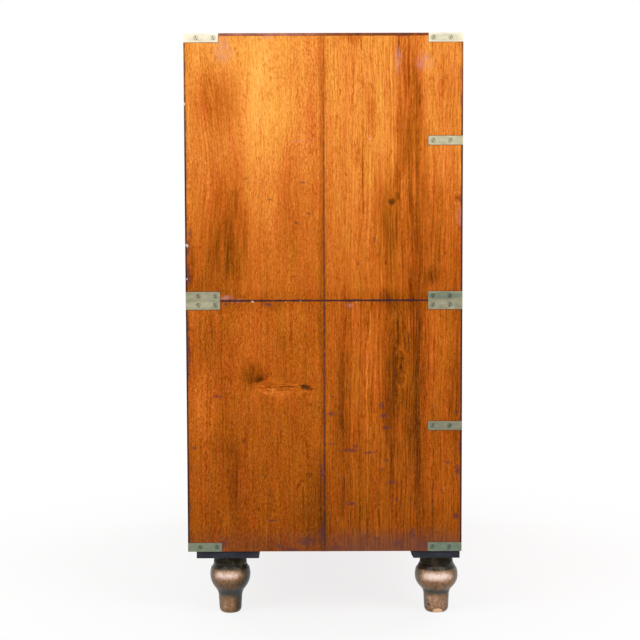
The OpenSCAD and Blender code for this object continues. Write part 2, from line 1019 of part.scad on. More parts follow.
top_board(LOWER);  // lower_top_board
side(LOWER, -1);  // lower_left_side
side(LOWER, 1);  // lower_right_side
bottom_board(LOWER);  // lower_bottom_board
back_panel(LOWER);  // lower_back_panel
drawer_rail(LOWER);  // lower_drawer_rail
dust_board(LOWER);  // lower_dust_board
drawer_stops(LOWER);  // lower_drawer_stops
brass_straps(LOWER);  // lower_brass_straps
strap_screws(LOWER);  // lower_strap_screws
locating_pegs();
foot_blocks();
top_board(UPPER);  // upper_top_board
side(UPPER, -1);  // upper_left_side
side(UPPER, 1);  // upper_right_side
bottom_board(UPPER);  // upper_bottom_board
back_panel(UPPER);  // upper_back_panel
drawer_rail(UPPER);  // upper_drawer_rail
dust_board(UPPER);  // upper_dust_board
divider();  // short_drawer_divider
drawer_stops(UPPER);  // upper_drawer_stops
brass_straps(UPPER);  // upper_brass_straps
strap_screws(UPPER);  // upper_strap_screws
front_foot(-1);  // front_left_foot
front_foot(1);  // front_right_foot
rear_foot(-1);  // rear_left_foot
rear_foot(1);  // rear_right_foot
drawer_front(TOP_LEFT);  // top_left_drawer_front
drawer_box(TOP_LEFT);  // top_left_drawer_box
pull_plates(TOP_LEFT);  // top_left_pull_plate
bail(TOP_LEFT, 1);  // top_left_bail
lock(TOP_LEFT);  // top_left_lock
lock_bolt(TOP_LEFT);  // top_left_lock_bolt
drawer_front(TOP_RIGHT);  // top_right_drawer_front
drawer_box(TOP_RIGHT);  // top_right_drawer_box
pull_plates(TOP_RIGHT);  // top_right_pull_plate
bail(TOP_RIGHT, 1);  // top_right_bail
lock(TOP_RIGHT);  // top_right_lock
lock_bolt(TOP_RIGHT);  // top_right_lock_bolt
drawer_front(SECOND);  // second_drawer_front
drawer_box(SECOND);  // second_drawer_box
pull_plates(SECOND);  // second_pull_plates
bail(SECOND, -1);  // second_left_bail
bail(SECOND, 1);  // second_right_bail
lock(SECOND);  // second_lock
lock_bolt(SECOND);  // second_lock_bolt
drawer_front(THIRD);  // third_drawer_front
drawer_box(THIRD);  // third_drawer_box
pull_plates(THIRD);  // third_pull_plates
bail(THIRD, -1);  // third_left_bail
bail(THIRD, 1);  // third_right_bail
lock(THIRD);  // third_lock
lock_bolt(THIRD);  // third_lock_bolt
drawer_front(BOTTOM);  // bottom_drawer_front
drawer_box(BOTTOM);  // bottom_drawer_box
pull_plates(BOTTOM);  // bottom_pull_plates
bail(BOTTOM, -1);  // bottom_left_bail
bail(BOTTOM, 1);  // bottom_right_bail
lock(BOTTOM);  // bottom_lock
lock_bolt(BOTTOM);  // bottom_lock_bolt
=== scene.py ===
"""Looks of a campaign chest: two stacked sections of polished teak with brasses let in flush.

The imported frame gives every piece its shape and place. This script rounds the edges, gives the
boards, brasses, screws and feet their finishes, and sets the camera, the lamps and the floor.
Lengths are in metres. +Z is up, -Y is the front, and the camera looks at the left end (-X).
"""

import math
from functools import partialmethod, reduce

import bpy
from mathutils import Matrix, Vector


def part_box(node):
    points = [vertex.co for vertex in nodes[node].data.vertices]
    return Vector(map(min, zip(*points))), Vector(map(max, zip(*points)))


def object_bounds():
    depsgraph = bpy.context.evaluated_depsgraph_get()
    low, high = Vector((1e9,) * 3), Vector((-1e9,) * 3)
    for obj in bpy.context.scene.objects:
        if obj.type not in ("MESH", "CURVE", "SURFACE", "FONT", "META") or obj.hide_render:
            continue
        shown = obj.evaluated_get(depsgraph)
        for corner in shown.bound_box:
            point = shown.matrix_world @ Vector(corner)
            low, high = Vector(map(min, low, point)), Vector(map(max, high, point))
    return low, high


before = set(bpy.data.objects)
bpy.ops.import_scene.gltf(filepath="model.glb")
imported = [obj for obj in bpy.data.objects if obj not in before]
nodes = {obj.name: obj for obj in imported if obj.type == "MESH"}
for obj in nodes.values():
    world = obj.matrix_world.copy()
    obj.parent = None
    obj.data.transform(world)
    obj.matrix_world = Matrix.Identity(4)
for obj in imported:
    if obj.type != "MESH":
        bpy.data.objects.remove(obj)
cad_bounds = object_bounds()
mm = 0.001
X, Y, Z = range(3)

# ---- Places that the finishes need, from the frame ----


def box_middle(name):
    low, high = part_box(name)
    return (low + high) / 2


upper_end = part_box("upper_left_side")
lower_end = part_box("lower_left_side")
LEFT_X = upper_end[0].x
FRONT_Y = upper_end[0].y
BACK_Y = upper_end[1].y
CASE_TOP = cad_bounds[1].z
LAP_Z = upper_end[1].z
SEAM_Z = upper_end[0].z
CASE_BASE = lower_end[0].z
RAIL_HEIGHTS = [box_middle(f"{section}_drawer_rail").z for section in ("upper", "lower")]
STRAP_W = 16.5 * mm
STRAP_L = 63 * mm
STRAP_HEIGHTS = (
    CASE_TOP - STRAP_W / 2, SEAM_Z + STRAP_W / 2, SEAM_Z - STRAP_W / 2, CASE_BASE + STRAP_W / 2,
    *RAIL_HEIGHTS,
)
SCREW_R = 4 * mm
SCREW_PLACES = (STRAP_L - 8.5 * mm, 23 * mm)
BACK_BOARDS = 3
NAIL_INSET = 12 * mm


# ---- Node trees ----


class Value:
    """What a socket gives. Arithmetic and methods add the nodes that work on it."""

    def __init__(self, tree, socket):
        self.tree = tree
        self.socket = socket

    def math(self, operation, *others):
        return self.tree.math(operation, self, *others)

    def math_after(self, operation, other):
        return self.tree.math(operation, other, self)

    __add__ = partialmethod(math, "ADD")
    __radd__ = partialmethod(math_after, "ADD")
    __sub__ = partialmethod(math, "SUBTRACT")
    __rsub__ = partialmethod(math_after, "SUBTRACT")
    __mul__ = partialmethod(math, "MULTIPLY")
    __abs__ = partialmethod(math, "ABSOLUTE")
    times_plus = partialmethod(math, "MULTIPLY_ADD")

    def scaled(self, factor, centre=0.0):
        """How far the value lies from its centre, times a factor."""
        return self.times_plus(factor, -centre * factor)

    def swing(self, factor):
        """Noise about 0.5, made into a change about 0."""
        return self.scaled(factor, 0.5)

    def span(self, low, high, to_low=0.0, to_high=1.0):
        """Takes low..high smoothly to to_low..to_high and holds the ends."""
        inputs = {"Value": self, 1: low, 2: high, 3: to_low, 4: to_high}
        return self.tree.value("ShaderNodeMapRange", inputs, interpolation_type="SMOOTHSTEP")

    def near(self, centre, reach):
        """1 where the value is at its centre, falling to 0 at reach."""
        return abs(self - centre).span(0.0, reach, 1.0, 0.0)

    def parts(self):
        """The three numbers of a vector."""
        split = self.tree.add("ShaderNodeSeparateXYZ", {0: self})
        return [Value(self.tree, output) for output in split.outputs]

    def blend(self, a, b):
        """A number between a and b, where the value is b's share."""
        return self.tree.value("ShaderNodeMix", {0: self, 2: a, 3: b})

    def mix(self, a, b, blend_type="MIX"):
        """A colour between a and b, where the value is b's share."""
        inputs = {0: self, 6: a, 7: b}
        return self.tree.value("ShaderNodeMix", inputs, 2, data_type="RGBA", blend_type=blend_type)

    def ramp(self, stops):
        """A colour for the value, from (position, colour) stops."""
        node = self.tree.add("ShaderNodeValToRGB", {0: self})
        elements = node.color_ramp.elements
        while len(elements) < len(stops):
            elements.new(0.5)
        for element, (position, colour) in zip(elements, stops):
            element.position = position
            element.color = (*colour[:3], 1.0)
        return Value(self.tree, node.outputs[0])

    def level(self, low, high, stops):
        """A number for the value between low and high, from (share, number) stops."""
        share = (self - low).math("DIVIDE", high - low)
        return share.ramp([(position, (number,) * 3) for position, number in stops])

    def patches(self, sizes, detail=2.0, rough=0.5, bend=0.0):
        """Noise about 0.5, in patches of these sizes along X, Y and Z."""
        scale = Vector(1 / size for size in sizes)
        place = self.tree.vector_math("MULTIPLY", self, scale)
        return self.tree.noise({"Vector": place, "Distortion": bend}, detail, rough)

    def streaks(self, width, length, detail=2.0, rough=0.6, bend=0.0):
        """Noise about 0.5 in streaks along Z, where the grain runs."""
        return self.patches((width, width, length), detail, rough, bend)

    def lines(self, size, detail=3.0, rough=0.6):
        """Uneven lines of about this width along the value."""
        return self.tree.noise({"W": self * (1 / size)}, detail, rough, "1D")

    def spot(self, centre, radii, turn=0.0):
        """1 at the centre of an ellipsoid, turned about X, falling evenly to 0 at its skin."""
        inputs = {"Vector": self, "Location": centre, "Scale": radii, "Rotation": (turn, 0.0, 0.0)}
        moved = self.tree.value("ShaderNodeMapping", inputs, vector_type="TEXTURE")
        inputs = {"Vector": moved}
        return self.tree.value("ShaderNodeTexGradient", inputs, "Fac", gradient_type="SPHERICAL")

    def bump(self, depth, normal=None):
        """The surface's normal, bent by the value as a height."""
        inputs = {"Height": self, "Distance": depth}
        if normal:
            inputs["Normal"] = normal
        return self.tree.value("ShaderNodeBump", inputs)


class Tree:
    """A node tree under construction."""

    def __init__(self, node_tree):
        self.nodes = node_tree.nodes
        self.links = node_tree.links

    def add(self, kind, inputs=None, **settings):
        """A new node."""
        node = self.nodes.new(kind)
        for name, setting in settings.items():
            setattr(node, name, setting)
        for key, given in (inputs or {}).items():
            self.plug(node.inputs[key], given)
        return node

    def plug(self, socket, given):
        if isinstance(given, Value):
            self.links.new(given.socket, socket)
        else:
            socket.default_value = given

    def value(self, kind, inputs=None, output=0, **settings):
        """What one output of a new node gives."""
        return Value(self, self.add(kind, inputs, **settings).outputs[output])

    def math(self, operation, *values):
        return self.value("ShaderNodeMath", dict(enumerate(values)), operation=operation)

    def vector_math(self, operation, *values, output=0):
        inputs = dict(enumerate(values))
        return self.value("ShaderNodeVectorMath", inputs, output, operation=operation)

    def noise(self, inputs, detail, rough, dimensions="3D"):
        inputs.update({"Scale": 1.0, "Detail": detail, "Roughness": rough})
        return self.value("ShaderNodeTexNoise", inputs, noise_dimensions=dimensions)


class Finish(Tree):
    """A material's tree. marks_x is where the marks of an end lie along X."""

    def __init__(self, name, marks_x=LEFT_X):
        self.material = bpy.data.materials.new(name)
        self.material.use_nodes = True
        super().__init__(self.material.node_tree)
        self.nodes.clear()
        self.marks_x = marks_x
        self.place = self.value("ShaderNodeTexCoord", output="Object")
        self.normal = self.value("ShaderNodeNewGeometry", output="Normal")
        self.xyz = self.x, self.y, self.z = self.place.parts()

    def vector(self, x, y, z):
        return self.value("ShaderNodeCombineXYZ", {0: x, 1: y, 2: z})

    def patches(self, *look):
        """Noise about 0.5 at the surface's own place."""
        return self.place.patches(*look)

    def stirred(self, noise, reach):
        """The place, moved about along Y and Z by a noise."""
        push = noise.swing(reach)
        return self.vector(self.x, self.y + push, self.z + push)

    def facing(self, axis):
        """1 where the surface faces along an axis, either way."""
        return abs(self.normal.parts()[axis]).span(0.6, 0.8)

    def shade(self, **inputs):
        """The surface, with inputs named as on the Principled shader but in lower case."""
        named = {
            name.replace("_", " ").title().replace("Ior", "IOR"): given
            for name, given in inputs.items()
        }
        self.add("ShaderNodeOutputMaterial", {0: self.value("ShaderNodeBsdfPrincipled", named)})
        return self.material


def most(*values):
    """The greatest of several values."""
    return reduce(lambda a, b: a.math("MAXIMUM", b), values)


def least(*values):
    """The smallest of several values."""
    return reduce(lambda a, b: a.math("MINIMUM", b), values)


def length(a, b):
    """The long side of a triangle with a right angle between these two."""
    return a.times_plus(a, b * b).math("SQRT")


def srgb(*screen):
    """A linear colour from screen values in 0..255."""
    parts = (value / 255 for value in screen)
    return *(p / 12.92 if p <= 0.04045 else ((p + 0.055) / 1.055) ** 2.4 for p in parts), 1.0


# ---- Teak ----

# Colours of polished teak by tone, which is how bright its red looks
TEAK_TONES = [
    (0.00, srgb(18, 12, 14)), (0.30, srgb(74, 32, 2)), (0.45, srgb(112, 51, 0)),
    (0.55, srgb(138, 66, 2)), (0.65, srgb(164, 81, 10)), (0.75, srgb(190, 96, 22)),
    (0.85, srgb(217, 120, 44)), (0.94, srgb(240, 154, 66)), (1.00, srgb(252, 176, 82)),
    (1.10, srgb(255, 202, 120)),
]
TONE_TOP = TEAK_TONES[-1][0]
# Dark colour of dirt and old polish, and of painted shade in the gaps round the brasses
GRIME_AND_SHADE = srgb(52, 34, 40)
EDGE_GRIME = srgb(104, 58, 52)
RIM_GRIME = srgb(44, 24, 22)
BASE_GRIME = srgb(104, 68, 60)
BLOOM = srgb(206, 150, 146)
BARE_NICK = srgb(226, 206, 196)
DING = srgb(84, 46, 52)
DARK_FIBRE = (0.72, 0.58, 0.3, 1.0)
# Painted glints, added on bright fibres
FIBRE_GLINT = (0.11, 0.06, 0.022, 1.0)
FLECK = (0.66, 0.56, 0.5, 1.0)
TEAK_SHEEN = (1.0, 0.55, 0.25, 1.0)

# How far apart two boards are cut: across the grain, in depth and along the grain
BOARD_STEPS = (3.17, 1.73, 5.39)
FLAME_STEP = 1.37


def board_place(wood, board, parts):
    """The place in a board's own wood."""
    return wood.vector(*(
        wood.math("MULTIPLY_ADD", board, step, part) for step, part in zip(BOARD_STEPS, parts)
    ))


def grain_place(wood, grain, board):
    """The place in a board's own wood, with the grain along Z."""
    return board_place(wood, board, [wood.xyz[(grain + turn) % 3] for turn in (1, 2, 0)])


def teak_colour(tone):
    return (tone * (1 / TONE_TOP)).ramp([(stop / TONE_TOP, colour) for stop, colour in TEAK_TONES])


def grain_tones(place, long_share=0.8, short_share=0.8):
    """Changes of tone in every teak board, from broad bands to short dashes."""
    bands = place.streaks(0.022, 0.6, rough=0.55)
    clouds = place.streaks(0.03, 0.06, rough=0.5)
    rings = place.parts()[Y].lines(0.0044, 4.0, 0.65)
    ring_share = place.streaks(0.012, 0.13, rough=0.5)
    veins = place.streaks(0.0022, 0.036)
    dashes = place.streaks(0.002, 0.0045)
    drawn_out = rings.swing(0.56) * ring_share + veins.swing(0.26)
    return (
        bands.swing(0.13)
        + clouds.swing(0.07)
        + drawn_out * long_share
        + dashes.swing(0.36) * short_share
    )


def fibre_colours(wood, colour, place, glint_share=1.0):
    """Fibres and oil flecks that differ in hue as well as in tone, with painted glints on the
    bright fibres.
    """
    dark = place.streaks(0.0017, 0.009)
    glints = place.streaks(0.002, 0.0075, bend=0.3)
    grain_hue = place.streaks(0.012, 0.1, rough=0.55)
    hue = grain_hue.swing(0.022) + wood.patches((0.06, 0.06, 0.2)).swing(0.012) + 0.5
    flecks = place.streaks(0.0015, 0.0042).span(0.58, 0.7)
    fleck_share = place.streaks(0.05, 0.16, rough=0.5).span(0.4, 0.62, 0.2, 1.0)
    colour = dark.span(0.47, 0.72).mix(colour, DARK_FIBRE, "MULTIPLY")
    colour = (flecks * fleck_share).mix(colour, FLECK, "MULTIPLY")
    # Painted glints: bright fibres lightened as if catching the light
    colour = glints.span(0.46, 0.8, 0.0, glint_share).mix(colour, FIBRE_GLINT, "ADD")
    return wood.value("ShaderNodeHueSaturation", {"Hue": hue, "Color": colour})


def pore_mask(place):
    """Teak's open pores: fine dark dashes along the grain."""
    return place.streaks(0.00055, 0.0075, 1.0, 0.5).span(0.6, 0.72)


def polish(wood, colour, place, pores, dull=0.0, matt=0.33):
    """Worn French polish over wood: glossy, with sunk pores and soft waves."""
    waves = wood.patches((0.05, 0.05, 0.12))
    fibres = place.streaks(0.0009, 0.03)
    height = pores.scaled(-0.5) + fibres.scaled(0.35)
    return wood.shade(
        base_color=colour,
        roughness=waves.swing(0.25) + pores.scaled(0.15) + dull + matt,
        specular_ior_level=0.1,
        specular_tint=TEAK_SHEEN,
        normal=waves.bump(0.0012, height.bump(0.00008)),
    )


def by_height(wood, stops):
    """A number by height on the case, from (share, number) stops."""
    return wood.z.level(CASE_BASE, CASE_TOP, stops)


def flame_figure(wood, axes, middle, seed):
    """Growth rings that a flat cut through the log turns into long flames."""
    waver_reach = 0.022
    along, across = (wood.xyz[axis] for axis in axes)
    place = wood.vector(across, seed, along)
    waver = place.patches((0.035, 1.0, 0.2))
    across += waver.scaled(waver_reach, 0.5 + middle / waver_reach)
    depth = (along + FLAME_STEP * seed).lines(0.32, 1.0).scaled(0.26, 0.3)
    rings = length(across, depth).lines(0.0075)
    share = place.patches((0.05, 1.0, 0.24)).span(0.3, 0.65, 0.35, 1.0)
    return rings.swing(0.42) * share


def edge_distance(wood, box, axes):
    """How far a point is inside a board's nearest edge, over its face's two axes."""
    gaps = []
    for axis in axes:
        low, high = (corner[axis] for corner in box)
        gaps.append((high - low) / 2 - abs(wood.xyz[axis] - (low + high) / 2))
    return least(*gaps)


def teak(
    name, grain, board, tone, axes=None, box=None, middle=0.0, plates=(), end_tone=-0.22, matt=0.33
):
    """Teak for a board. axes are its length and width, box is its face, plates are its pulls."""
    wood = Finish(name)
    place = grain_place(wood, grain, board)
    pores = pore_mask(place)
    broad = place.streaks(0.055, 0.5, rough=0.5)
    streaky = place.streaks(0.0036, 0.09, 3.0).span(0.32, 0.68, 0.5, 1.5)
    value = (
        # Painted light: the tone rises a little towards the top, as if lit from above
        by_height(wood, [(0.0, tone - 0.06), (0.5, tone), (1.0, tone + 0.06)])
        + grain_tones(place)
        + broad.scaled(0.46, 0.52) * streaky
        + (flame_figure(wood, axes, middle, board) if axes else 0.0)
        + pores.scaled(-0.14)
        + wood.facing(grain).scaled(end_tone)
    )
    if plates:
        inside_plates = (edge_distance(wood, plate, (X, Z)) for plate in plates)
        beside_plate = least(*(inside.scaled(-1.0) for inside in inside_plates))
        value += beside_plate.span(0.0, 30 * mm, -0.07, 0.0)
    colour = fibre_colours(wood, teak_colour(value), place)
    knocks = place.streaks(0.007, 0.022, rough=0.55)
    knocked = knocks + wood.patches((0.1, 0.1, 0.1), 1.0).scaled(0.22, 0.5)
    colour = knocked.span(0.7, 0.8, 0.0, 0.6).mix(colour, DING)
    dusty = at_lap(wood) * wood.y.span(-30 * mm, 60 * mm, 0.05, 0.35)
    colour = dusty.mix(colour, BLOOM)
    dirt_and_shade = most(seam_grime(wood), lap_grime(wood))
    if plates:
        # Dirt with painted shade in the gap round the pull plates
        dirt_and_shade = most(dirt_and_shade, beside_plate.span(0.2 * mm, 1.6 * mm, 0.8, 0.0))
    colour = dirt_and_shade.mix(colour, GRIME_AND_SHADE)
    if box:
        face = wood.facing(*{X, Y, Z} - set(axes))
        noise = wood.patches((0.02, 0.02, 0.02), 3.0, 0.6)
        inside = edge_distance(wood, box, axes)
        edge = (inside - noise.scaled(11 * mm, 0.45)).span(-1.5 * mm, 5 * mm, 0.75, 0.0)
        colour = (edge * face).mix(colour, EDGE_GRIME)
        worn = inside.span(0.2 * mm, 1.4 * mm, 1.0, 0.0) * noise.span(0.56, 0.68, 0.0, 0.7) * face
        colour = worn.mix(colour, BARE_NICK)
    return polish(wood, colour, place, pores, 0.0, matt)


def seam_grime(wood):
    """Dirt in the joint between the two sections."""
    reach = wood.patches((0.02, 0.02, 0.02), 3.0, 0.7).scaled(3.8 * mm)
    return abs(wood.z - SEAM_Z).math("LESS_THAN", reach) * 0.85


def at_lap(wood):
    """1 on the thin edge with which the top board laps over the ends."""
    upright = wood.normal.parts()[Z].span(0.5, 0.9, 1.0, 0.0)
    return wood.z.span(LAP_Z - 1 * mm, LAP_Z) * upright


def lap_grime(wood):
    """Dark old polish on the lap, more of it towards the front."""
    blots = wood.patches((0.05, 0.03, 0.02), 3.0, 0.6).span(0.35, 0.66, 0.05, 0.45)
    return at_lap(wood) * (blots + wood.y.span(-40 * mm, 30 * mm, 0.3, 0.0))


# ---- The two ends ----

# A mark is its distance from the middle of the end, positive towards the back, its height above
# the floor, half its width and half its height, all in millimetres.

# Tone of the left end by height, rising towards the top: painted light from above, over the wood's
# own tone
LEFT_HEIGHT_TONES = [
    (0.00, 0.545), (0.05, 0.59), (0.12, 0.635), (0.24, 0.67), (0.4, 0.72), (0.49, 0.745),
    (0.55, 0.785), (0.62, 0.82), (0.76, 0.88), (0.86, 0.905), (1.00, 0.915),
]

# Broad changes of tone: marks with a change
TONE_ZONES = [
    (119, 971, 83.7, 236.6, 0.08), (195, 962, 72.8, 91, -0.11), (189, 820, 69.2, 273, -0.06),
    (187, 696, 76.4, 154.7, -0.14), (169, 661, 18.2, 109.2, -0.06), (152, 865, 32.8, 218.4, -0.03),
    (230, 607, 80.1, 54.6, -0.05), (65, 765, 40, 172.9, -0.06), (48, 701, 12.7, 163.8, -0.05),
    (14, 747, 32.8, 218.4, -0.06), (14, 978, 32.8, 163.8, -0.05), (-44, 1062, 43.7, 16.4, -0.08),
    (-57, 1063, 12.7, 21.8, -0.08), (-114, 747, 30.9, 136.5, -0.16), (-118, 592, 33.5, 37.2, -0.13),
    (-124, 465, 29.8, 213.9, -0.16), (-121, 312, 26, 111.6, -0.07), (-152, 920, 40, 345.8, -0.14),
    (-155, 1029, 40, 91, -0.05), (-152, 517, 33.5, 279, -0.09), (-174, 774, 29.1, 400.4, -0.11),
    (-172, 555, 27.9, 279, -0.09), (-169, 330, 29.8, 204.6, -0.1), (-202, 701, 32.8, 163.8, -0.1),
    (-229, 705, 47.3, 200.2, -0.09), (-225, 920, 54.6, 218.4, -0.03), (-247, 480, 26, 279, -0.12),
    (-75, 446, 37.2, 158.1, 0.06), (-34, 405, 24.2, 223.2, -0.09), (230, 392, 59.5, 96.7, 0.08),
    (216, 521, 63.2, 83.7, -0.06), (187, 358, 26, 204.6, -0.06), (162, 259, 33.5, 148.8, -0.05),
    (18, 209, 44.6, 139.5, -0.12), (17, 545, 37.2, 111.6, -0.06), (133, 461, 39.1, 27.9, -0.17),
    (102, 420, 63.2, 24.2, 0.05), (94, 586, 29.8, 13, -0.08), (-237, 358, 37.2, 55.8, -0.05),
    (104, 426, 26, 13, 0.07), (64, 418, 48.4, 13, 0.05), (-141, 499, 13, 14.9, 0.06),
    (-133, 461, 4.7, 44.6, 0.05), (-148, 458, 4.1, 37.2, 0.07), (-122, 680, 28, 115, -0.1),
    (-88, 940, 18, 60, -0.05), (-62, 850, 12, 34, -0.06), (-228, 980, 42, 110, -0.05),
    (208, 745, 28, 84, 0.05), (145, 700, 15, 115, -0.06), (94, 740, 18, 115, 0.04),
    (-161, 545, 15, 32, 0.07), (-200, 632, 24, 27, -0.1), (246, 665, 16, 95, -0.13),
    (105, 960, 34, 34, -0.03), (-84, 395, 14, 34, -0.06), (62, 505, 40, 40, -0.03),
    (228, 625, 36, 40, -0.07), (-110, 690, 14, 100, 0.03), (-198, 630, 26, 30, -0.08),
    (-161, 540, 20, 34, 0.04), (120, 190, 40, 60, 0.04), (94, 280, 14, 60, 0.03),
]

# Where the grain leans forward as it falls: marks with a slope
LEANS = [(175, 960, 130, 270, 0.10), (150, 466, 46, 60, 0.26), (20, 1000, 60, 90, 0.03)]

# Knots: marks with the darkness of the heart
KNOTS = [
    (104, 433, 24.2, 16.7, 0.25), (34, 432, 20.5, 12.1, 0.9), (92, 187, 8.4, 11.2, 0.3),
    (-244, 780, 12.7, 14.6, 0.8), (-123, 770, 9.1, 12.7, 0.9), (-141, 467, 17.7, 48.4, 0.05),
]

# Dark cracks, stripes and ink-like lines: marks with a change and maybe a turn in degrees
DARK_LINES = [
    (-55, 987, 1.8, 76.4, -0.16, 0.3), (-72, 810, 1.8, 112.8, -0.16, -1),
    (-30, 972, 2.4, 9.1, -0.2), (-136, 1053, 2.2, 25.5, -0.22, 4), (-57, 1025, 1.6, 47.3, -0.1),
    (-136, 901, 4.7, 191.1, -0.09), (-156, 865, 3.6, 172.9, -0.09), (-170, 965, 5.5, 109.2, -0.09),
    (-175, 965, 2.4, 30.9, -0.18), (-170, 710, 5.1, 112.8, -0.1, 0.4), (-145, 683, 3.6, 91, -0.09),
    (-124, 773, 10.9, 8.2, -0.22), (-134, 783, 5.8, 10.9, -0.18), (-133, 814, 4.7, 36.4, -0.12),
    (-133, 729, 4, 47.3, -0.12), (-42, 822, 2.9, 3.3, -0.2), (-113, 661, 2.9, 6.2, -0.2),
    (173, 690, 12, 70, -0.07, 0.6), (178, 661, 3.2, 65.5, -0.05, 1.5),
    (165, 683, 2, 72.8, -0.05, 0.8), (196, 690, 4, 50, -0.07, 8), (212, 668, 3, 40, -0.07, 12),
    (205, 640, 2.4, 34, -0.07, 10), (161, 772, 4.7, 40, -0.1), (162, 259, 2.6, 89.3, -0.1),
    (139, 992, 1.6, 109.2, -0.05, 3), (112, 920, 1.6, 127.4, -0.04, 2),
    (-129, 458, 7.8, 148.8, -0.11, 0.2), (-135, 527, 2.6, 74.4, -0.14), (-125, 274, 6, 111.6, -0.1),
    (-167, 458, 7.8, 156.2, -0.11, -0.2), (-174, 508, 2.2, 74.4, -0.12),
    (-173, 293, 7.4, 137.6, -0.09), (-33, 405, 6.3, 111.6, -0.08), (-34, 228, 6.7, 55.8, -0.1),
    (-37, 256, 2, 18.6, -0.14), (-80, 179, 4.1, 59.5, -0.16, 2), (-192, 480, 1.7, 111.6, -0.1),
    (73, 433, 42.8, 2.8, -0.13, -2), (69, 427, 33.5, 1.9, -0.09, 3), (43, 441, 22.3, 1.7, -0.09, 4),
    (-82, 545, 2.4, 27.9, -0.16, 1), (-41, 551, 1.7, 18.6, -0.1), (-87, 592, 2.2, 22.3, -0.14),
    (33, 432, 13, 6.7, -0.25, 5), (124, 448, 24.2, 9.3, -0.15, -20), (118, 445, 13, 7.1, -0.2, -15),
    (110, 429, 13, 2.4, -0.1, 20), (97, 437, 9.3, 2.2, -0.1, -35), (43, 435, 7.4, 2.2, -0.12, 20),
    (23, 428, 11.2, 2.6, -0.14, -10), (40, 218, 2.6, 74.4, -0.08), (206, 536, 2.2, 55.8, -0.06),
    (188, 545, 1.9, 48.4, -0.08), (48, 251, 2.2, 13, -0.14, 16), (29, 268, 7.4, 7.4, -0.1),
    (149, 333, 6.3, 6.3, -0.12), (124, 205, 6.3, 6.3, -0.1), (41, 341, 3, 3.7, -0.16),
    (169, 274, 18.6, 115.3, -0.05),
]

# Purple-dark dings and stains
DINGS = [
    (40, 808, 10.9, 3.3), (29, 752, 6.4, 4.4), (51, 735, 5.5, 4.7), (141, 815, 7.3, 2.7),
    (98, 777, 5.5, 2.7), (-91, 704, 3.6, 7.3), (-62, 660, 3.6, 7.3), (197, 415, 14, 4.1),
    (-106, 397, 8.4, 9.3), (-109, 379, 12.1, 8.2), (-114, 356, 14, 6), (-49, 314, 22.3, 6),
    (-57, 322, 7.4, 5.6), (-85, 310, 16.7, 6.3), (-12, 327, 11.2, 3.7), (-125, 254, 17.7, 4.8),
    (-49, 215, 15.8, 5.6), (-13, 382, 11.2, 6.5), (-15, 414, 6.5, 2.6), (-114, 295, 7.4, 2.8),
    (-107, 279, 5.2, 4.8), (-133, 223, 5.6, 5.6), (-227, 292, 6.5, 6.5), (-244, 385, 5.2, 4.1),
    (-246, 277, 8.4, 16.7), (-243, 191, 8.4, 13), (-162, 159, 9.3, 16.7), (-135, 140, 14.9, 11.2),
    (-186, 136, 22.3, 11.2), (-97, 148, 7.4, 5.6), (5, 274, 4.8, 26), (5, 159, 9.3, 29.8),
    (35, 144, 27.9, 16.7), (84, 135, 14.9, 9.3), (187, 142, 11.2, 16.7), (99, 183, 18.6, 3.7),
    (240, 320, 6.5, 6.5), (252, 209, 4.8, 37.2), (179, 585, 9.3, 3.7), (104, 585, 16.7, 6),
    (-119, 589, 7.4, 4.1), (250, 545, 4.5, 26), (251, 458, 4.5, 22.3), (-249, 778, 5.5, 10.9),
    (150, 1077, 7.3, 4.5), (-142, 1074, 21.8, 3.6), (245, 714, 7.3, 12.7), (-216, 239, 3.7, 8.4),
    (-249, 321, 4.1, 18.6), (248, 640, 7, 36), (248, 690, 6, 40), (249, 500, 5, 60),
    (62, 128, 30, 8), (-20, 131, 26, 8),
]

# Pale blooms in the polish
BLOOMS = [
    (-85, 889, 3.3, 7.3), (-183, 1025, 21.8, 23.7), (-249, 747, 9.1, 29.1), (179, 597, 16.4, 8.2),
    (101, 1072, 16.4, 7.3), (206, 1069, 10.9, 7.3), (-45, 583, 14.9, 5.6), (41, 883, 23.7, 2.4),
    (184, 1047, 25.5, 32.8), (160, 592, 26, 5.6), (-135, 1029, 9.1, 36.4),
]

# Chips down to bare wood
NICKS = [
    (253, 951, 3.3, 3.3), (251, 694, 3.3, 3.6), (251, 632, 2.9, 2.9), (-255, 381, 3.7, 4.5),
    (-84, 886, 1.5, 2.5), (131, 590, 2.2, 1.5), (-58, 590, 2.4, 1.5), (43, 591, 1.9, 1.3),
    (71, 590, 1.7, 1.3),
]

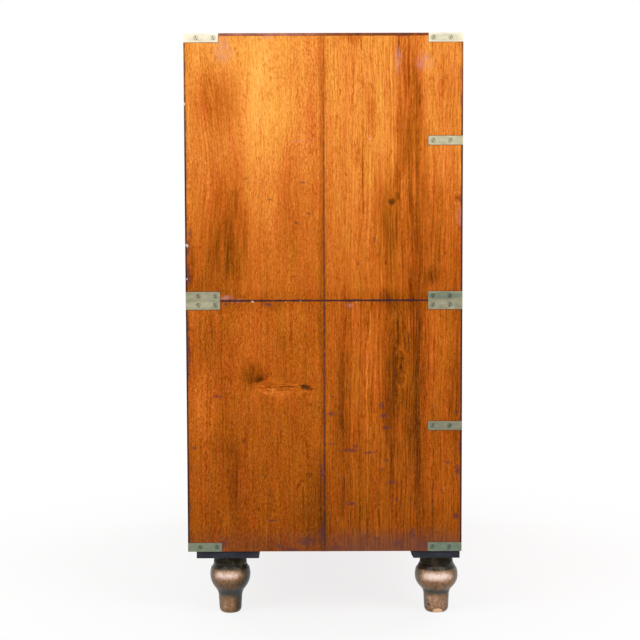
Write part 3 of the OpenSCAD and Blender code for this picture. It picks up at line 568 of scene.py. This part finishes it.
LEFT_END = {
    "x": LEFT_X, "heights": LEFT_HEIGHT_TONES, "zones": TONE_ZONES, "leans": LEANS,
    "knots": KNOTS, "lines": DARK_LINES, "dings": DINGS, "blooms": BLOOMS, "nicks": NICKS,
    "golden": (130, 970, 80, 230), "across": (68, 431, 92, 22), "striped": -152,
}
RIGHT_END = {
    "x": -LEFT_X,
    # Tone by height, rising towards the top: painted light from above, over the wood's own tone
    "heights": [(0.0, 0.56), (0.12, 0.63), (0.3, 0.69), (0.5, 0.74), (0.7, 0.80), (1.0, 0.86)],
    "zones": [
        (-150, 900, 60, 300, -0.12), (-90, 640, 34, 220, 0.06), (-210, 700, 40, 330, -0.1),
        (60, 860, 50, 260, -0.11), (150, 960, 70, 200, 0.07), (210, 720, 50, 250, -0.12),
        (110, 560, 40, 180, -0.06), (-60, 300, 60, 200, -0.1), (-180, 330, 50, 190, 0.06),
        (40, 240, 40, 160, -0.11), (170, 330, 60, 180, -0.14), (220, 500, 30, 120, 0.05),
    ],
    "leans": [(-120, 800, 110, 260, -0.08), (120, 380, 90, 200, 0.10)],
    "knots": [(-88, 884, 18, 14, 0.7), (142, 262, 14, 12, 0.5), (168, 742, 9, 12, 0.8)],
    "lines": [
        (-150, 870, 4, 180, -0.11), (-126, 700, 3, 150, -0.12, 0.5), (-118, 884, 34, 2.2, -0.12, 2),
        (58, 880, 3.4, 160, -0.1), (206, 640, 5, 170, -0.1, 0.3), (96, 300, 3, 120, -0.13),
        (-200, 360, 4, 150, -0.1), (-30, 520, 2, 90, -0.13, 0.6), (182, 250, 26, 2.2, -0.1, -3),
        (-60, 1000, 2, 60, -0.14, 2),
    ],
    "dings": [
        (-70, 790, 9, 4), (-96, 702, 5, 6), (34, 655, 8, 4), (128, 470, 7, 5), (60, 412, 14, 5),
        (-140, 376, 12, 6), (-36, 236, 8, 7), (190, 205, 12, 6), (88, 150, 22, 9),
        (-190, 142, 20, 9), (-248, 300, 6, 16), (250, 420, 5, 22), (250, 860, 5, 16),
        (-120, 1068, 18, 5), (30, 590, 10, 4),
    ],
    "blooms": [(-170, 1040, 24, 20), (120, 596, 22, 6), (200, 1066, 14, 8), (-60, 760, 9, 24)],
    "nicks": [(253, 620, 3, 4), (-252, 900, 3, 3.4), (-255, 150, 3, 4), (110, 590, 2, 1.4)],
    "golden": (-120, 980, 90, 200), "across": (-88, 884, 70, 18), "striped": 60,
}

# Added to the tone of the ends to fit the photo
END_TONE_LIFT = 0.012

# How deep a mark reaches into the end, and how far a knot bends the wood, in its own sizes
MARK_DEPTH = 0.7
KNOT_WIDE = 2.2
KNOT_HIGH = 3.4
OUTLINE_W = 1.5 * mm


def mark(place, distance, height, half_width, half_height, turn=0.0):
    """1 in the middle of a mark on an end, falling evenly to 0 at its outline."""
    centre = (place.tree.marks_x, distance * mm, height * mm)
    radii = (MARK_DEPTH, half_width * mm, half_height * mm)
    return place.spot(centre, radii, math.radians(turn))


def marks(place, rows):
    """The strongest of several marks."""
    return most(*(mark(place, *row) for row in rows))


def marked_change(place, rows, full, change=0.0):
    """Changes of tone by marks, in full where a mark is at least this strong."""
    for distance, height, half_width, half_height, step, *turn in rows:
        shape = mark(place, distance, height, half_width, half_height, *turn)
        change = shape.span(0.0, full).times_plus(step, change)
    return change


def strap_outline(wood, from_corner):
    """A dark line round the brasses, dirt with painted shade in the gap at their edges, whose arms
    run along from_corner.
    """
    gaps = [abs(wood.z - height) - STRAP_W for height in (CASE_TOP, SEAM_Z, CASE_BASE)]
    behind = wood.y.math("GREATER_THAN", 0.0)
    for height in RAIL_HEIGHTS:
        gaps.append(abs(wood.z - height) - STRAP_W / 2 + behind)
    outside = most(least(*gaps), from_corner - STRAP_L)
    return outside.span(0.0, OUTLINE_W, 0.85, 0.0)


def end_grain(wood, ragged, end):
    """The place in the end's wood, bent aside by knots, with the knots' rings and hearts."""
    push = wood.patches((0.04, 0.04, 0.24)).swing(0.022)
    for *shape, slope in end["leans"]:
        lean = mark(wood.place, *shape).span(0.0, 0.6)
        push = wood.z.scaled(-slope, shape[1] * mm).times_plus(lean, push)
    wavy_place = wood.stirred(ragged, 0.006)
    rings = []
    hearts = []
    for *shape, heart in end["knots"]:
        distance, height, half_width, half_height = shape
        wide, high = half_width * KNOT_WIDE, half_height * KNOT_HIGH
        reach = mark(wood.place, distance, height, wide, high)
        push = (wood.y - distance * mm).times_plus(reach * reach * -0.9, push)
        core = mark(wavy_place, *shape)
        rings.append(core)
        hearts.append(core.span(0.55, 0.85, 0.0, heart))
    is_back = wood.y.math("GREATER_THAN", 0.0)
    place = board_place(wood, is_back, (wood.x, wood.y + push, wood.z))
    return place, most(*rings), most(*hearts)


def end_tone(wood, place, ragged, rings, hearts, pores, end):
    """Tone of an end: height, zones, stripes, grain and knots together."""
    waver = wood.patches((0.03, 0.03, 0.1), 3.0, 0.55)
    zone_y = wood.y + waver.swing(0.03) + ragged.swing(0.008)
    zone_place = wood.vector(wood.x, zone_y, wood.z + waver.swing(0.06))
    zones = marked_change(zone_place, end["zones"], 1.0)
    zones *= place.streaks(0.0034, 0.08, 3.0).span(0.32, 0.68, 0.55, 1.45)

    # Grain, in long streaks behind and in short dashes in front, with rings round the knots
    rear_share = wood.y.span(-40 * mm, 20 * mm)
    grain = grain_tones(
        place, rear_share.times_plus(-0.55, 1.15), rear_share.times_plus(0.45, 0.5)
    ) + pores.scaled(-0.08)
    ring_lines = rings.lines(0.17, 3.0, 0.7).scaled(1.0, 0.48)
    grain = rings.span(0.0, 0.35).blend(grain, ring_lines)
    cross_fibres = wood.patches((0.01, 0.018, 0.002), 3.0, 0.6, 0.2)
    cross_share = mark(zone_place, *end["across"]).span(0.0, 0.8)
    grain = cross_share.blend(grain, cross_fibres.swing(0.55))
    grain = least(grain, 0.0) * 1.3 + most(grain, 0.0) * 0.8
    grain *= wood.z.span(SEAM_Z, SEAM_Z + 30 * mm, 1.0, 0.62)
    calm = mark(wood.place, *end["golden"]).span(0.0, 0.7).times_plus(-0.5, 1.0)

    # Olive-brown stripes break up into fine lines inside one dark band
    stripes = place.streaks(0.0032, 0.1, 3.0).span(0.5, 0.64)
    lines = wood.y.near(end["striped"] * mm, 46 * mm) * stripes * -0.13
    rag = ragged.swing(0.005)
    line_place = wood.vector(wood.x, wood.y + rag + waver.swing(0.01), wood.z + rag)
    return (
        # Painted light: the tone by height rises towards the top
        by_height(wood, end["heights"])
        + wood.z.near(SEAM_Z, 28 * mm).scaled(-0.05)
        + wood.y.near(3 * mm, 9 * mm).scaled(-0.08)
        + zones
        + END_TONE_LIFT
        + grain.scaled(1.25) * calm
        + marked_change(line_place, end["lines"], 0.7, lines)
        + hearts.scaled(-0.24)
    )


def end_teak(name, end):
    """Two boards of striped, knotted teak with the marks of two centuries."""
    wood = Finish(name, end["x"])
    ragged = wood.patches((0.004, 0.004, 0.008), 2.0, 0.6)
    place, rings, hearts = end_grain(wood, ragged, end)
    pores = pore_mask(place)
    tone = end_tone(wood, place, ragged, rings, hearts, pores, end)
    colour = fibre_colours(wood, teak_colour(tone), place, 0.75)

    ragged_place = wood.stirred(ragged, 0.01)
    cloudy = wood.patches((0.01, 0.01, 0.014), 3.0, 0.6).span(0.3, 0.65)
    blooms = marks(ragged_place, end["blooms"]).span(0.0, 0.8) * cloudy
    colour = blooms.scaled(0.42).mix(colour, BLOOM)
    scuffs = wood.patches((0.004, 0.016, 0.0026), 2.0, 0.6)
    dings = marks(ragged_place, end["dings"])
    dings += dings.span(0.0, 0.3) * scuffs.scaled(1.3, 0.55)
    colour = dings.span(0.05, 0.9).scaled(0.72).mix(colour, DING)

    # Dirt in the glue line, the seam and the outer edges, and dirt with painted shade round the
    # brasses
    joint_reach = by_height(
        wood, [(0.0, 3.6 * mm), (0.6, 3.2 * mm), (0.75, 2.9 * mm), (1.0, 2.2 * mm)]
    )
    joint_share = by_height(wood, [(0.0, 0.8), (0.6, 0.8), (0.8, 0.6), (1.0, 0.35)])
    broken = wood.patches((0.01, 0.01, 0.012), 3.0, 0.7).span(0.28, 0.5)
    joint = wood.y.near(-0.2 * mm, joint_reach) * (joint_share * broken)
    end_face = wood.facing(X)
    from_corner = (BACK_Y - FRONT_Y) / 2 - abs(wood.y)
    dirt_and_shade = most(joint, seam_grime(wood), strap_outline(wood, from_corner) * end_face)
    colour = dirt_and_shade.mix(colour, GRIME_AND_SHADE)
    base = wood.z + cloudy.swing(8 * mm)
    base = base.span(CASE_BASE + 12 * mm, CASE_BASE + 52 * mm, 0.55, 0.0)
    colour = (base * wood.y.span(-60 * mm, 20 * mm, 1.0, 0.35)).mix(colour, BASE_GRIME)
    edge_noise = wood.patches((0.012, 0.012, 0.03), 2.0, 0.6)
    edges = (from_corner - edge_noise.scaled(9 * mm, 0.45)).span(-1 * mm, 6.0 * mm, 0.85, 0.0)
    colour = (edges * end_face).mix(colour, EDGE_GRIME)
    rim = from_corner.span(1.7 * mm, 4.2 * mm, 0.92, 0.0)
    rim = rim * wood.z.span(1000 * mm, 860 * mm, 0.35, 1.0) * end_face
    colour = rim.mix(colour, RIM_GRIME)

    nicks = marks(ragged_place, end["nicks"])
    colour = nicks.span(0.1, 0.5).scaled(0.8).mix(colour, BARE_NICK)
    return polish(wood, colour, place, pores, dirt_and_shade.scaled(0.35))


# ---- Other woods ----

# Colours of dry unpolished wood by tone
DRY_TONES = [
    (0.00, srgb(70, 38, 20)), (0.30, srgb(124, 76, 42)), (0.55, srgb(162, 106, 62)),
    (0.80, srgb(196, 142, 90)), (1.00, srgb(222, 178, 126)),
]
DRY_SHEEN = (1.0, 0.72, 0.45, 1.0)
WOOD_DUST = srgb(156, 124, 94)
NAIL_RUST = srgb(44, 26, 20)
BOARD_SWING = 0.07
NAIL_SHARE = 0.27


def dry_wood(name, grain, board, tone, panel=None):
    """Unpolished wood of linings and backs. A panel is a box of three boards, nailed on."""
    wood = Finish(name)
    if panel:
        low, high = panel
        board_height = (high.z - low.z) / BACK_BOARDS
        up = (wood.z - low.z).math("DIVIDE", board_height)
        row = up.math("FLOOR")
        tone = (row * 2.3).math("SINE").scaled(BOARD_SWING, -tone / BOARD_SWING)
        board = row + board
        from_middle = abs(up.math("FRACT") - 0.5)
        from_joint = from_middle.scaled(-board_height, 0.5)
        joint = from_joint.span(0.3 * mm, 1.6 * mm, 0.85, 0.0)
        nail_up = (from_middle - NAIL_SHARE) * board_height
        from_nail = length(nail_up, high.x - NAIL_INSET - abs(wood.x))
        nail = from_nail.span(2.2 * mm, 3.4 * mm, 1.0, 0.0)
    place = grain_place(wood, grain, board)
    across, depth, _ = place.parts()
    waver = place.streaks(0.05, 0.45, rough=0.5)
    rings = (depth + waver.scaled(0.05) + across * 0.12).lines(0.0065)
    broad = place.streaks(0.035, 0.5, rough=0.5)
    fibres = place.streaks(0.0012, 0.03, 3.0)
    dashes = place.streaks(0.0007, 0.006)
    stains = wood.patches((0.13, 0.13, 0.09), 3.0, 0.6)
    value = (
        tone
        + rings.swing(0.5)
        + broad.swing(0.4)
        + fibres.swing(0.34)
        + dashes.span(0.6, 0.72).scaled(-0.12)
        + stains.swing(0.42)
        + wood.facing(grain).scaled(-0.15)
    )
    dust = wood.patches((0.09, 0.09, 0.05), 3.0, 0.6).span(0.5, 0.75, 0.0, 0.38)
    colour = dust.mix(value.ramp(DRY_TONES), WOOD_DUST)
    if panel:
        rim = edge_distance(wood, panel, (X, Z)).span(0.5 * mm, 9 * mm, 0.65, 0.0)
        ragged = wood.patches((0.03, 0.03, 0.03), 3.0, 0.6).span(0.35, 0.65)
        colour = most(joint, nail, rim * ragged).mix(colour, NAIL_RUST)
    return wood.shade(
        base_color=colour, roughness=stains.swing(0.2) + 0.7, specular_ior_level=0.12,
        specular_tint=DRY_SHEEN, normal=(fibres + rings).bump(0.0002),
    )


def ebonised_wood():
    """Black-stained blocks, worn grey along the grain and dusty blue."""
    wood = Finish("ebonised_wood")
    fibres = grain_place(wood, Y, 4.0).streaks(0.0015, 0.03, 3.0, 0.65)
    wear = wood.patches((0.02, 0.03, 0.012), 3.0, 0.6)
    value = fibres.swing(0.8) + wear.swing(0.9) + 0.45
    colour = value.ramp([
        (0.0, srgb(8, 8, 12)),
        (0.5, srgb(38, 40, 48)),
        (0.8, srgb(58, 64, 80)),
        (1.0, srgb(104, 88, 80)),
    ])
    return wood.shade(
        base_color=colour, roughness=wear.swing(0.3) + 0.55, specular_ior_level=0.2,
        normal=(fibres + wear).bump(0.0006),
    )


# ---- Metals ----

# Colour of dirt on the brass, and of painted shade in its slots and cracks
BRASS_DIRT_AND_SHADE = srgb(58, 62, 66)
VERDIGRIS = (0.62, 0.86, 0.92, 1.0)

# Colours of old brass by tone
BRASS_TONES = [
    (0.0, (0.02, 0.022, 0.018)), (0.25, (0.13, 0.15, 0.11)), (0.45, (0.28, 0.27, 0.18)),
    (0.65, (0.5, 0.46, 0.31)), (0.85, (0.74, 0.68, 0.52)), (1.0, (0.86, 0.8, 0.68)),
]
# Painted light: brass tone by height, paler towards the top as if lit from above
BRASS_LIGHT_BY_HEIGHT = [
    (0.0, 0.34), (0.45, 0.42), (0.6, 0.5), (0.85, 0.66), (0.97, 0.8), (1.0, 1.0),
]
STEEL_TONES = [(0.25, (0.06, 0.06, 0.072)), (0.55, (0.24, 0.24, 0.26)), (0.8, (0.44, 0.3, 0.2))]

# How single brasses on the left end differ: marks with a change of tone and a share of green
STRAP_TONES = [
    (222, 1070, 50, 12, -0.1, 0), (-222, 1070, 50, 12, -0.19, 0), (222, 601, 50, 9, 0.03, 0),
    (222, 584, 50, 9, 0.09, 0), (-222, 601, 50, 9, -0.11, 0.45), (-222, 584, 50, 9, 0.01, 0),
    (222, 133, 50, 14, 0.06, 0.5), (-222, 133, 50, 14, 0.05, 0.9),
]


def below_faces(metal):
    """How far a point is inside the two ends, and inside the front and the back."""
    return -LEFT_X - abs(metal.x), BACK_Y - abs(metal.y)


def screw_distance(metal):
    """How far a point on the straps is from the middle of the nearest screw, in its face."""
    upright = least(*(abs(metal.z - height) for height in STRAP_HEIGHTS))
    from_corner = most(*below_faces(metal))
    along = least(*(abs(from_corner - place) for place in SCREW_PLACES))
    return length(along, upright)


def sunk(metal):
    """1 in slots and cracks that lie below the faces of the case."""
    return least(*below_faces(metal), CASE_TOP - metal.z).span(0.15 * mm, 0.45 * mm)


def brass(name, polish_level=0.0, on_case=True):
    """Old brass: an olive bloom over yellow metal."""
    metal = Finish(name)
    blotches = metal.patches((0.016, 0.016, 0.01), 4.0, 0.6)
    fine = metal.patches((0.002, 0.002, 0.002), 3.0, 0.7)
    brushed = metal.patches((0.02, 0.03, 0.0007), 2.0, 0.6)
    lying = metal.facing(Z)
    change = 0.0
    green = 0.0
    for *shape, step, share in STRAP_TONES:
        zone = mark(metal.place, *shape).span(0.0, 0.6)
        change = zone.times_plus(step, change)
        green = zone.times_plus(share, green)
    value = (
        change
        # Painted light: paler towards the top
        + metal.z.level(0.0, CASE_TOP, BRASS_LIGHT_BY_HEIGHT)
        + blotches.swing(0.3)
        + fine.swing(0.16)
        + brushed.swing(0.12)
        + lying.scaled(-0.48)
        + polish_level
    )
    colour = green.mix(value.ramp(BRASS_TONES), VERDIGRIS, "MULTIPLY")
    rough = blotches.swing(0.35) + fine.swing(0.2) + lying.scaled(0.2) + 0.45
    if on_case:
        ring = screw_distance(metal).near(SCREW_R, 0.9 * mm)
        # Dirt round the screws, and painted shade with dirt in the slots and cracks
        dirt_and_shade = most(ring.scaled(0.45), sunk(metal).scaled(0.75))
        colour = dirt_and_shade.mix(colour, BRASS_DIRT_AND_SHADE)
        rough = dirt_and_shade.times_plus(0.3, rough)
    normal = (fine + brushed.scaled(0.6)).bump(0.00012)
    return metal.shade(base_color=colour, metallic=1.0, roughness=rough, normal=normal)


def steel():
    """Dull old steel of bolts."""
    metal = Finish("bolt_steel")
    rust = metal.patches((0.003, 0.003, 0.003), 4.0, 0.7)
    colour = rust.ramp(STEEL_TONES)
    rough = rust.swing(0.4) + 0.5
    return metal.shade(base_color=colour, metallic=1.0, roughness=rough, normal=rust.bump(0.0003))


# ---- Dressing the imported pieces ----


def geometry_group(name):
    """A geometry node group, its tree and what comes into it."""
    group = bpy.data.node_groups.new(name, "GeometryNodeTree")
    for way in ("INPUT", "OUTPUT"):
        group.interface.new_socket("Geometry", in_out=way, socket_type="NodeSocketGeometry")
    tree = Tree(group)
    return group, tree, tree.value("NodeGroupInput")


def flat_shading():
    """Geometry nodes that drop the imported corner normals, which don't fit rounded edges."""
    group, tree, packed = geometry_group("flat_shading")
    inputs = {"Geometry": packed, "Name": "custom_normal"}
    bare = tree.value("GeometryNodeRemoveAttribute", inputs)
    inputs = {"Geometry": bare, "Shade Smooth": False}
    flat = tree.value("GeometryNodeSetShadeSmooth", inputs)
    tree.add("NodeGroupOutput", {0: flat})
    return group


def outer_edges():
    """Geometry nodes that give a bevel weight to the edges on the piece's box."""
    group, tree, packed = geometry_group("outer_edges")
    box = tree.add("GeometryNodeBoundBox", {0: packed})
    place = tree.value("GeometryNodeInputPosition")
    gaps = []
    for corner in ("Min", "Max"):
        away = tree.vector_math("SUBTRACT", place, Value(tree, box.outputs[corner]))
        gaps.append(tree.vector_math("ABSOLUTE", away))
    nearest = tree.vector_math("MINIMUM", *gaps)
    x, y, z = (part.math("LESS_THAN", 0.1 * mm) for part in nearest.parts())
    on_two_planes = (x + y + z).math("GREATER_THAN", 1.5)
    inputs = {"Geometry": packed, "Name": "bevel_weight_edge", "Value": on_two_planes}
    weighted = tree.value("GeometryNodeStoreNamedAttribute", inputs, domain="EDGE")
    tree.add("NodeGroupOutput", {0: weighted})
    return group


FLAT = flat_shading()
OUTER_EDGES = outer_edges()
BOARD_EDGE = 0.9 * mm
RAIL_EDGE = 0.6 * mm


def round_edges(piece, width, outer_only):
    """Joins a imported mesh's split corners and rounds its sharp edges."""
    piece.modifiers.new("shading", "NODES").node_group = FLAT
    weld = piece.modifiers.new("weld", "WELD")
    weld.merge_threshold = 0.01 * mm
    flat = piece.modifiers.new("flat", "DECIMATE")
    flat.decimate_type = "DISSOLVE"
    flat.angle_limit = math.radians(0.5)
    if outer_only:
        piece.modifiers.new("outer", "NODES").node_group = OUTER_EDGES
    piece.modifiers.new("triangles", "TRIANGULATE")
    bevel = piece.modifiers.new("bevel", "BEVEL")
    bevel.width = width
    bevel.segments = 2
    bevel.limit_method = "WEIGHT" if outer_only else "ANGLE"
    bevel.angle_limit = math.radians(40)
    bevel.use_clamp_overlap = False


def dress(name, material, edge=0.0, outer_only=False):
    """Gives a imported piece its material, and rounds its edges by this much."""
    piece = nodes[name]
    piece.data.materials.clear()
    piece.data.materials.append(material)
    if edge > 0:
        round_edges(piece, edge, outer_only)


def dress_board(name, material, edge=BOARD_EDGE):
    """Dresses a board, whose joints stay sharp inside its outline."""
    dress(name, material, edge, outer_only=True)


for side, end in (("left", LEFT_END), ("right", RIGHT_END)):
    end_wood = end_teak(f"teak_{side}_end", end)
    dress_board(f"upper_{side}_side", end_wood)
    dress_board(f"lower_{side}_side", end_wood)
top_teak = teak(
    "teak_top", X, 5.0, 0.76, (X, Y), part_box("upper_top_board"), 0.03, end_tone=-0.14, matt=0.46
)
case_teak = teak("teak_case", X, 7.0, 0.7)
dress_board("upper_top_board", top_teak)
for board in ("upper_bottom_board", "lower_top_board", "lower_bottom_board"):
    dress_board(board, case_teak)
for rail in ("upper_drawer_rail", "lower_drawer_rail", "short_drawer_divider"):
    dress_board(rail, case_teak, RAIL_EDGE)

# Each drawer, and how far above its middle the flames of its grain are
DRAWERS = {"top_left": 0.02, "top_right": -0.03, "second": 0.04, "third": -0.05, "bottom": 0.01}
plate_low, plate_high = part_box("top_left_pull_plate")
PLATE_SPREAD = (plate_high - plate_low) / 2
for index, (drawer, flame_rise) in enumerate(DRAWERS.items()):
    front = f"{drawer}_drawer_front"
    bails = (name for name in nodes if name.startswith(drawer) and name.endswith("_bail"))
    middles = [box_middle(bail) for bail in bails]
    plates = [(middle - PLATE_SPREAD, middle + PLATE_SPREAD) for middle in middles]
    flame_z = box_middle(front).z + flame_rise
    look = (X, 9.0 + 2.0 * index, 0.77, (X, Z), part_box(front), flame_z, plates)
    dress_board(front, teak(f"teak_{drawer}_front", *look))

lining = dry_wood("lining_wood", Y, 3.0, 0.62)
dust_wood = dry_wood("dust_board_wood", X, 6.0, 0.5)
for drawer in DRAWERS:
    dress_board(f"{drawer}_drawer_box", lining, RAIL_EDGE)
for seed, section in enumerate(("upper", "lower")):
    back_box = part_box(f"{section}_back_panel")
    back_wood = dry_wood(f"{section}_back_wood", X, 20.0 + 5.0 * seed, 0.46, back_box)
    dress(f"{section}_back_panel", back_wood, 0.4 * mm)
    dress(f"{section}_dust_board", dust_wood, 0.4 * mm)
for small in ("upper_drawer_stops", "lower_drawer_stops", "locating_pegs"):
    dress(small, lining, 0.5 * mm)
dress("foot_blocks", ebonised_wood(), 1.2 * mm)

strap_brass = brass("strap_brass")
pull_brass = brass("pull_brass", -0.04, on_case=False)
screw_brass = brass("screw_brass", -0.1)
for section in ("upper", "lower"):
    dress(f"{section}_brass_straps", strap_brass, 0.3 * mm)
    dress(f"{section}_strap_screws", screw_brass)
bolt_steel = steel()
for drawer in DRAWERS:
    dress(f"{drawer}_lock_bolt", bolt_steel, 0.4 * mm)
    dress(f"{drawer}_lock", pull_brass, 0.15 * mm)
for name in nodes:
    if name.endswith(("_pull_plate", "_pull_plates")):
        dress(name, pull_brass, 0.15 * mm)
    elif name.endswith("_bail"):
        dress(name, pull_brass)


# ---- Turned feet ----

# Colours of the feet's varnish by tone, whose palest colours serve the painted highlight on the
# balls
VARNISH_TONES = [
    (0.00, srgb(18, 17, 12)), (0.25, srgb(64, 50, 34)), (0.45, srgb(108, 80, 54)),
    (0.65, srgb(150, 114, 82)), (0.82, srgb(204, 168, 146)), (1.00, srgb(246, 222, 208)),
]
FOOT_H = 112 * mm
FOOT_SHADE_GREY = srgb(50, 64, 68)
FOOT_BLACK = srgb(14, 14, 8)
FOOT_SHADOW_OLIVE = srgb(70, 66, 42)
FOOT_CHIP = srgb(248, 204, 162)

# The chip and the nail head on a foot: place from the foot's axis and the floor, and radii
CHIP = ((-22 * mm, -1.5 * mm, 2 * mm), (14 * mm, 11.5 * mm, 8.5 * mm))
NAIL = ((-17 * mm, 15.5 * mm, 16 * mm), (6 * mm, 4 * mm, 3.4 * mm))

# Tone of the feet by height; its dips at the waist, on the lower ball and at the top are painted
# shade
FRONT_TONES = [
    (0.0, 0.55), (0.1, 0.64), (0.24, 0.69), (0.34, 0.58), (0.44, 0.52), (0.62, 0.64), (1.0, 0.5),
]
REAR_TONES = [
    (0.0, 0.58), (0.12, 0.6), (0.24, 0.62), (0.34, 0.48), (0.5, 0.44), (0.66, 0.6), (1.0, 0.4),
]

# Where a foot's looks change: height of the step above the ball, height and reach of the waist
FRONT_SHAPE = (84 * mm, 41 * mm, 9 * mm)
REAR_SHAPE = (86 * mm, 41 * mm, 15 * mm)


def turned_wood(name, tones, shape, shaded, axis=None):
    """Old varnish on a turned foot, with a painted highlight on the outer side of the ball.

    Blue-grey painted shade fills the waist and greys the sides of the ball, and a painted shadow
    darkens the top above the step. shaded is the painted shade on the front.
    A foot with an axis is chipped.
    """
    wood = Finish(name)
    ring_z, waist_z, waist_reach = shape
    fibres = grain_place(wood, Z, 1.0).streaks(0.0016, 0.016, 3.0, 0.65)
    mottle = wood.patches((0.006, 0.006, 0.006), 3.0, 0.65)
    blots = wood.patches((0.014, 0.014, 0.012))
    normal_x, normal_y, _ = wood.normal.parts()
    # wear is a painted highlight on the outer side of the ball below the step
    wear = abs(normal_x).span(0.5, 0.97) * wood.z.near(ring_z - 10 * mm, 14 * mm)
    # Painted shade on the front side of the foot, as much as shaded says
    front_shade = normal_y.scaled(-1.0).span(0.1, 0.9)
    value = (
        wood.z.level(0.0, FOOT_H, tones)
        + wear.scaled(0.38)
        + front_shade.scaled(-shaded)
        + fibres.swing(0.3)
        + mottle.swing(0.42)
        + blots.swing(0.2)
    )
    # Painted shade: blue-grey in the waist under the ball and on the sides of the ball
    waist_shade = (wood.z + blots.swing(8 * mm)).near(waist_z, waist_reach)
    side_shade = abs(normal_y).span(0.6, 1.0, 0.0, 0.65)
    colour = most(waist_shade.scaled(0.86), side_shade).mix(value.ramp(VARNISH_TONES), FOOT_SHADE_GREY)
    # Painted shadow of the block over the top of the ball, above the step, black to olive
    dark = blots.span(0.45, 0.7).mix(FOOT_BLACK, FOOT_SHADOW_OLIVE)
    crown_shadow = wood.z.span(ring_z - 1 * mm, ring_z + 1.5 * mm, 0.0, 0.94)
    colour = crown_shadow.mix(colour, dark)
    if axis:
        colour = chip_and_nail(wood, colour, axis)
    collar = wood.z.span(ring_z + 8 * mm, ring_z + 14 * mm)
    return wood.shade(
        base_color=colour,
        roughness=mottle.swing(0.3) + waist_shade.scaled(0.2) + collar.scaled(0.3) + 0.3,
        specular_ior_level=0.12,
        normal=(mottle + fibres).bump(0.0005),
        coat_weight=collar.scaled(-0.4, 1.0), coat_roughness=0.1, coat_ior=1.3,
    )


def chip_and_nail(wood, colour, axis):
    """A chip down to pale wood at the toe and a nail head in the stem, on the outer side."""
    ragged = wood.patches((0.003, 0.003, 0.003), 2.0, 0.6)
    place = wood.stirred(ragged, 0.004)
    chip, nail = (place.spot(axis + Vector(offset), radii) for offset, radii in (CHIP, NAIL))
    colour = chip.span(0.08, 0.22, 0.0, 0.92).mix(colour, FOOT_CHIP)
    return nail.span(0.1, 0.5, 0.0, 0.85).mix(colour, FOOT_BLACK)


chipped_foot = box_middle("front_left_foot")
chipped_foot.z = 0.0
chipped_wood = turned_wood("chipped_foot_wood", FRONT_TONES, FRONT_SHAPE, 0.08, chipped_foot)
rear_wood = turned_wood("rear_foot_wood", REAR_TONES, REAR_SHAPE, 0.36)
dress("front_left_foot", chipped_wood)
dress("front_right_foot", turned_wood("front_foot_wood", FRONT_TONES, FRONT_SHAPE, 0.08))
for side in ("left", "right"):
    dress(f"rear_{side}_foot", rear_wood)


# ---- Camera ----

CAMERA_DISTANCE = 2.988
CAMERA_HEIGHT = 0.794
CAMERA_Y = 0.0076
CAMERA_TILT = math.radians(4.55)
CAMERA_ROLL = math.radians(-0.18)
CAMERA_LENS = 91.8


def add_camera():
    data = bpy.data.cameras.new("camera")
    data.lens = CAMERA_LENS
    camera = bpy.data.objects.new("camera", data)
    bpy.context.scene.collection.objects.link(camera)
    place = Matrix.Translation((LEFT_X - CAMERA_DISTANCE, CAMERA_Y, CAMERA_HEIGHT))
    turn = Matrix.Rotation(math.radians(-90), 4, "Z")
    tilt = Matrix.Rotation(math.radians(90) - CAMERA_TILT, 4, "X")
    roll = Matrix.Rotation(CAMERA_ROLL, 4, "Z")
    camera.matrix_world = place @ turn @ tilt @ roll
    bpy.context.scene.camera = camera


# ---- Light, background and floor ----

AMBIENT = 0.35
LAMP_REACH = 2.3
LAMP_Y = 1.9
LAMP_HEIGHT = 2.2
LAMP_TARGET = (0, 0, 0.65)
FLOOR_GREY = (0.85, 0.85, 0.85, 1.0)
FLOOR_SIZE = 40


def add_lamp(name, place, target, size, watts):
    data = bpy.data.lights.new(name, "AREA")
    data.size = size
    data.energy = watts
    lamp = bpy.data.objects.new(name, data)
    lamp.location = place
    lamp.rotation_euler = (Vector(target) - Vector(place)).to_track_quat("-Z", "Y").to_euler()
    bpy.context.scene.collection.objects.link(lamp)


def seen_directly(tree):
    """1 for rays from the camera, from mirrors and through glass, which see plain white."""
    path = tree.add("ShaderNodeLightPath")
    rays = ("Is Camera Ray", "Is Glossy Ray", "Is Transmission Ray")
    return most(*(Value(tree, path.outputs[ray]) for ray in rays))


def add_world():
    """A world that lights the chest softly and looks plain white."""
    world = bpy.data.worlds.new("world")
    world.use_nodes = True
    tree = Tree(world.node_tree)
    background = tree.nodes["Background"]
    tree.plug(background.inputs["Color"], (1, 1, 1, 1))
    inputs = {"Value": seen_directly(tree), "To Min": AMBIENT}
    tree.plug(background.inputs["Strength"], tree.value("ShaderNodeMapRange", inputs))
    bpy.context.scene.world = world


def add_floor():
    """A pale floor, white to the camera away from the chest, with the chest's shadow."""
    bpy.ops.mesh.primitive_plane_add(size=FLOOR_SIZE)
    floor = bpy.context.active_object
    floor.name = "floor"
    finish = Finish("floor")
    diffuse = finish.value("ShaderNodeBsdfDiffuse", {0: FLOOR_GREY})
    glow = finish.value("ShaderNodeEmission")
    away = finish.vector_math("LENGTH", finish.place, output="Value")
    share = seen_directly(finish) * away.span(0.5, 1.6, 0.82, 1.0)
    surface = finish.value("ShaderNodeMixShader", {0: share, 1: diffuse, 2: glow})
    finish.add("ShaderNodeOutputMaterial", {0: surface})
    floor.data.materials.append(finish.material)


add_camera()
add_world()
for side, lamp_x in (("left", -LAMP_REACH), ("right", LAMP_REACH)):
    for face, lamp_y in (("front", -LAMP_Y), ("back", LAMP_Y)):
        add_lamp(f"{side}_{face}", (lamp_x, lamp_y, LAMP_HEIGHT), LAMP_TARGET, 2.0, 45)
add_lamp("overhead", (0, 0, 3.0), (0, 0, 1.0), 0.9, 22)
add_floor()
bpy.context.scene.view_settings.view_transform = "Standard"
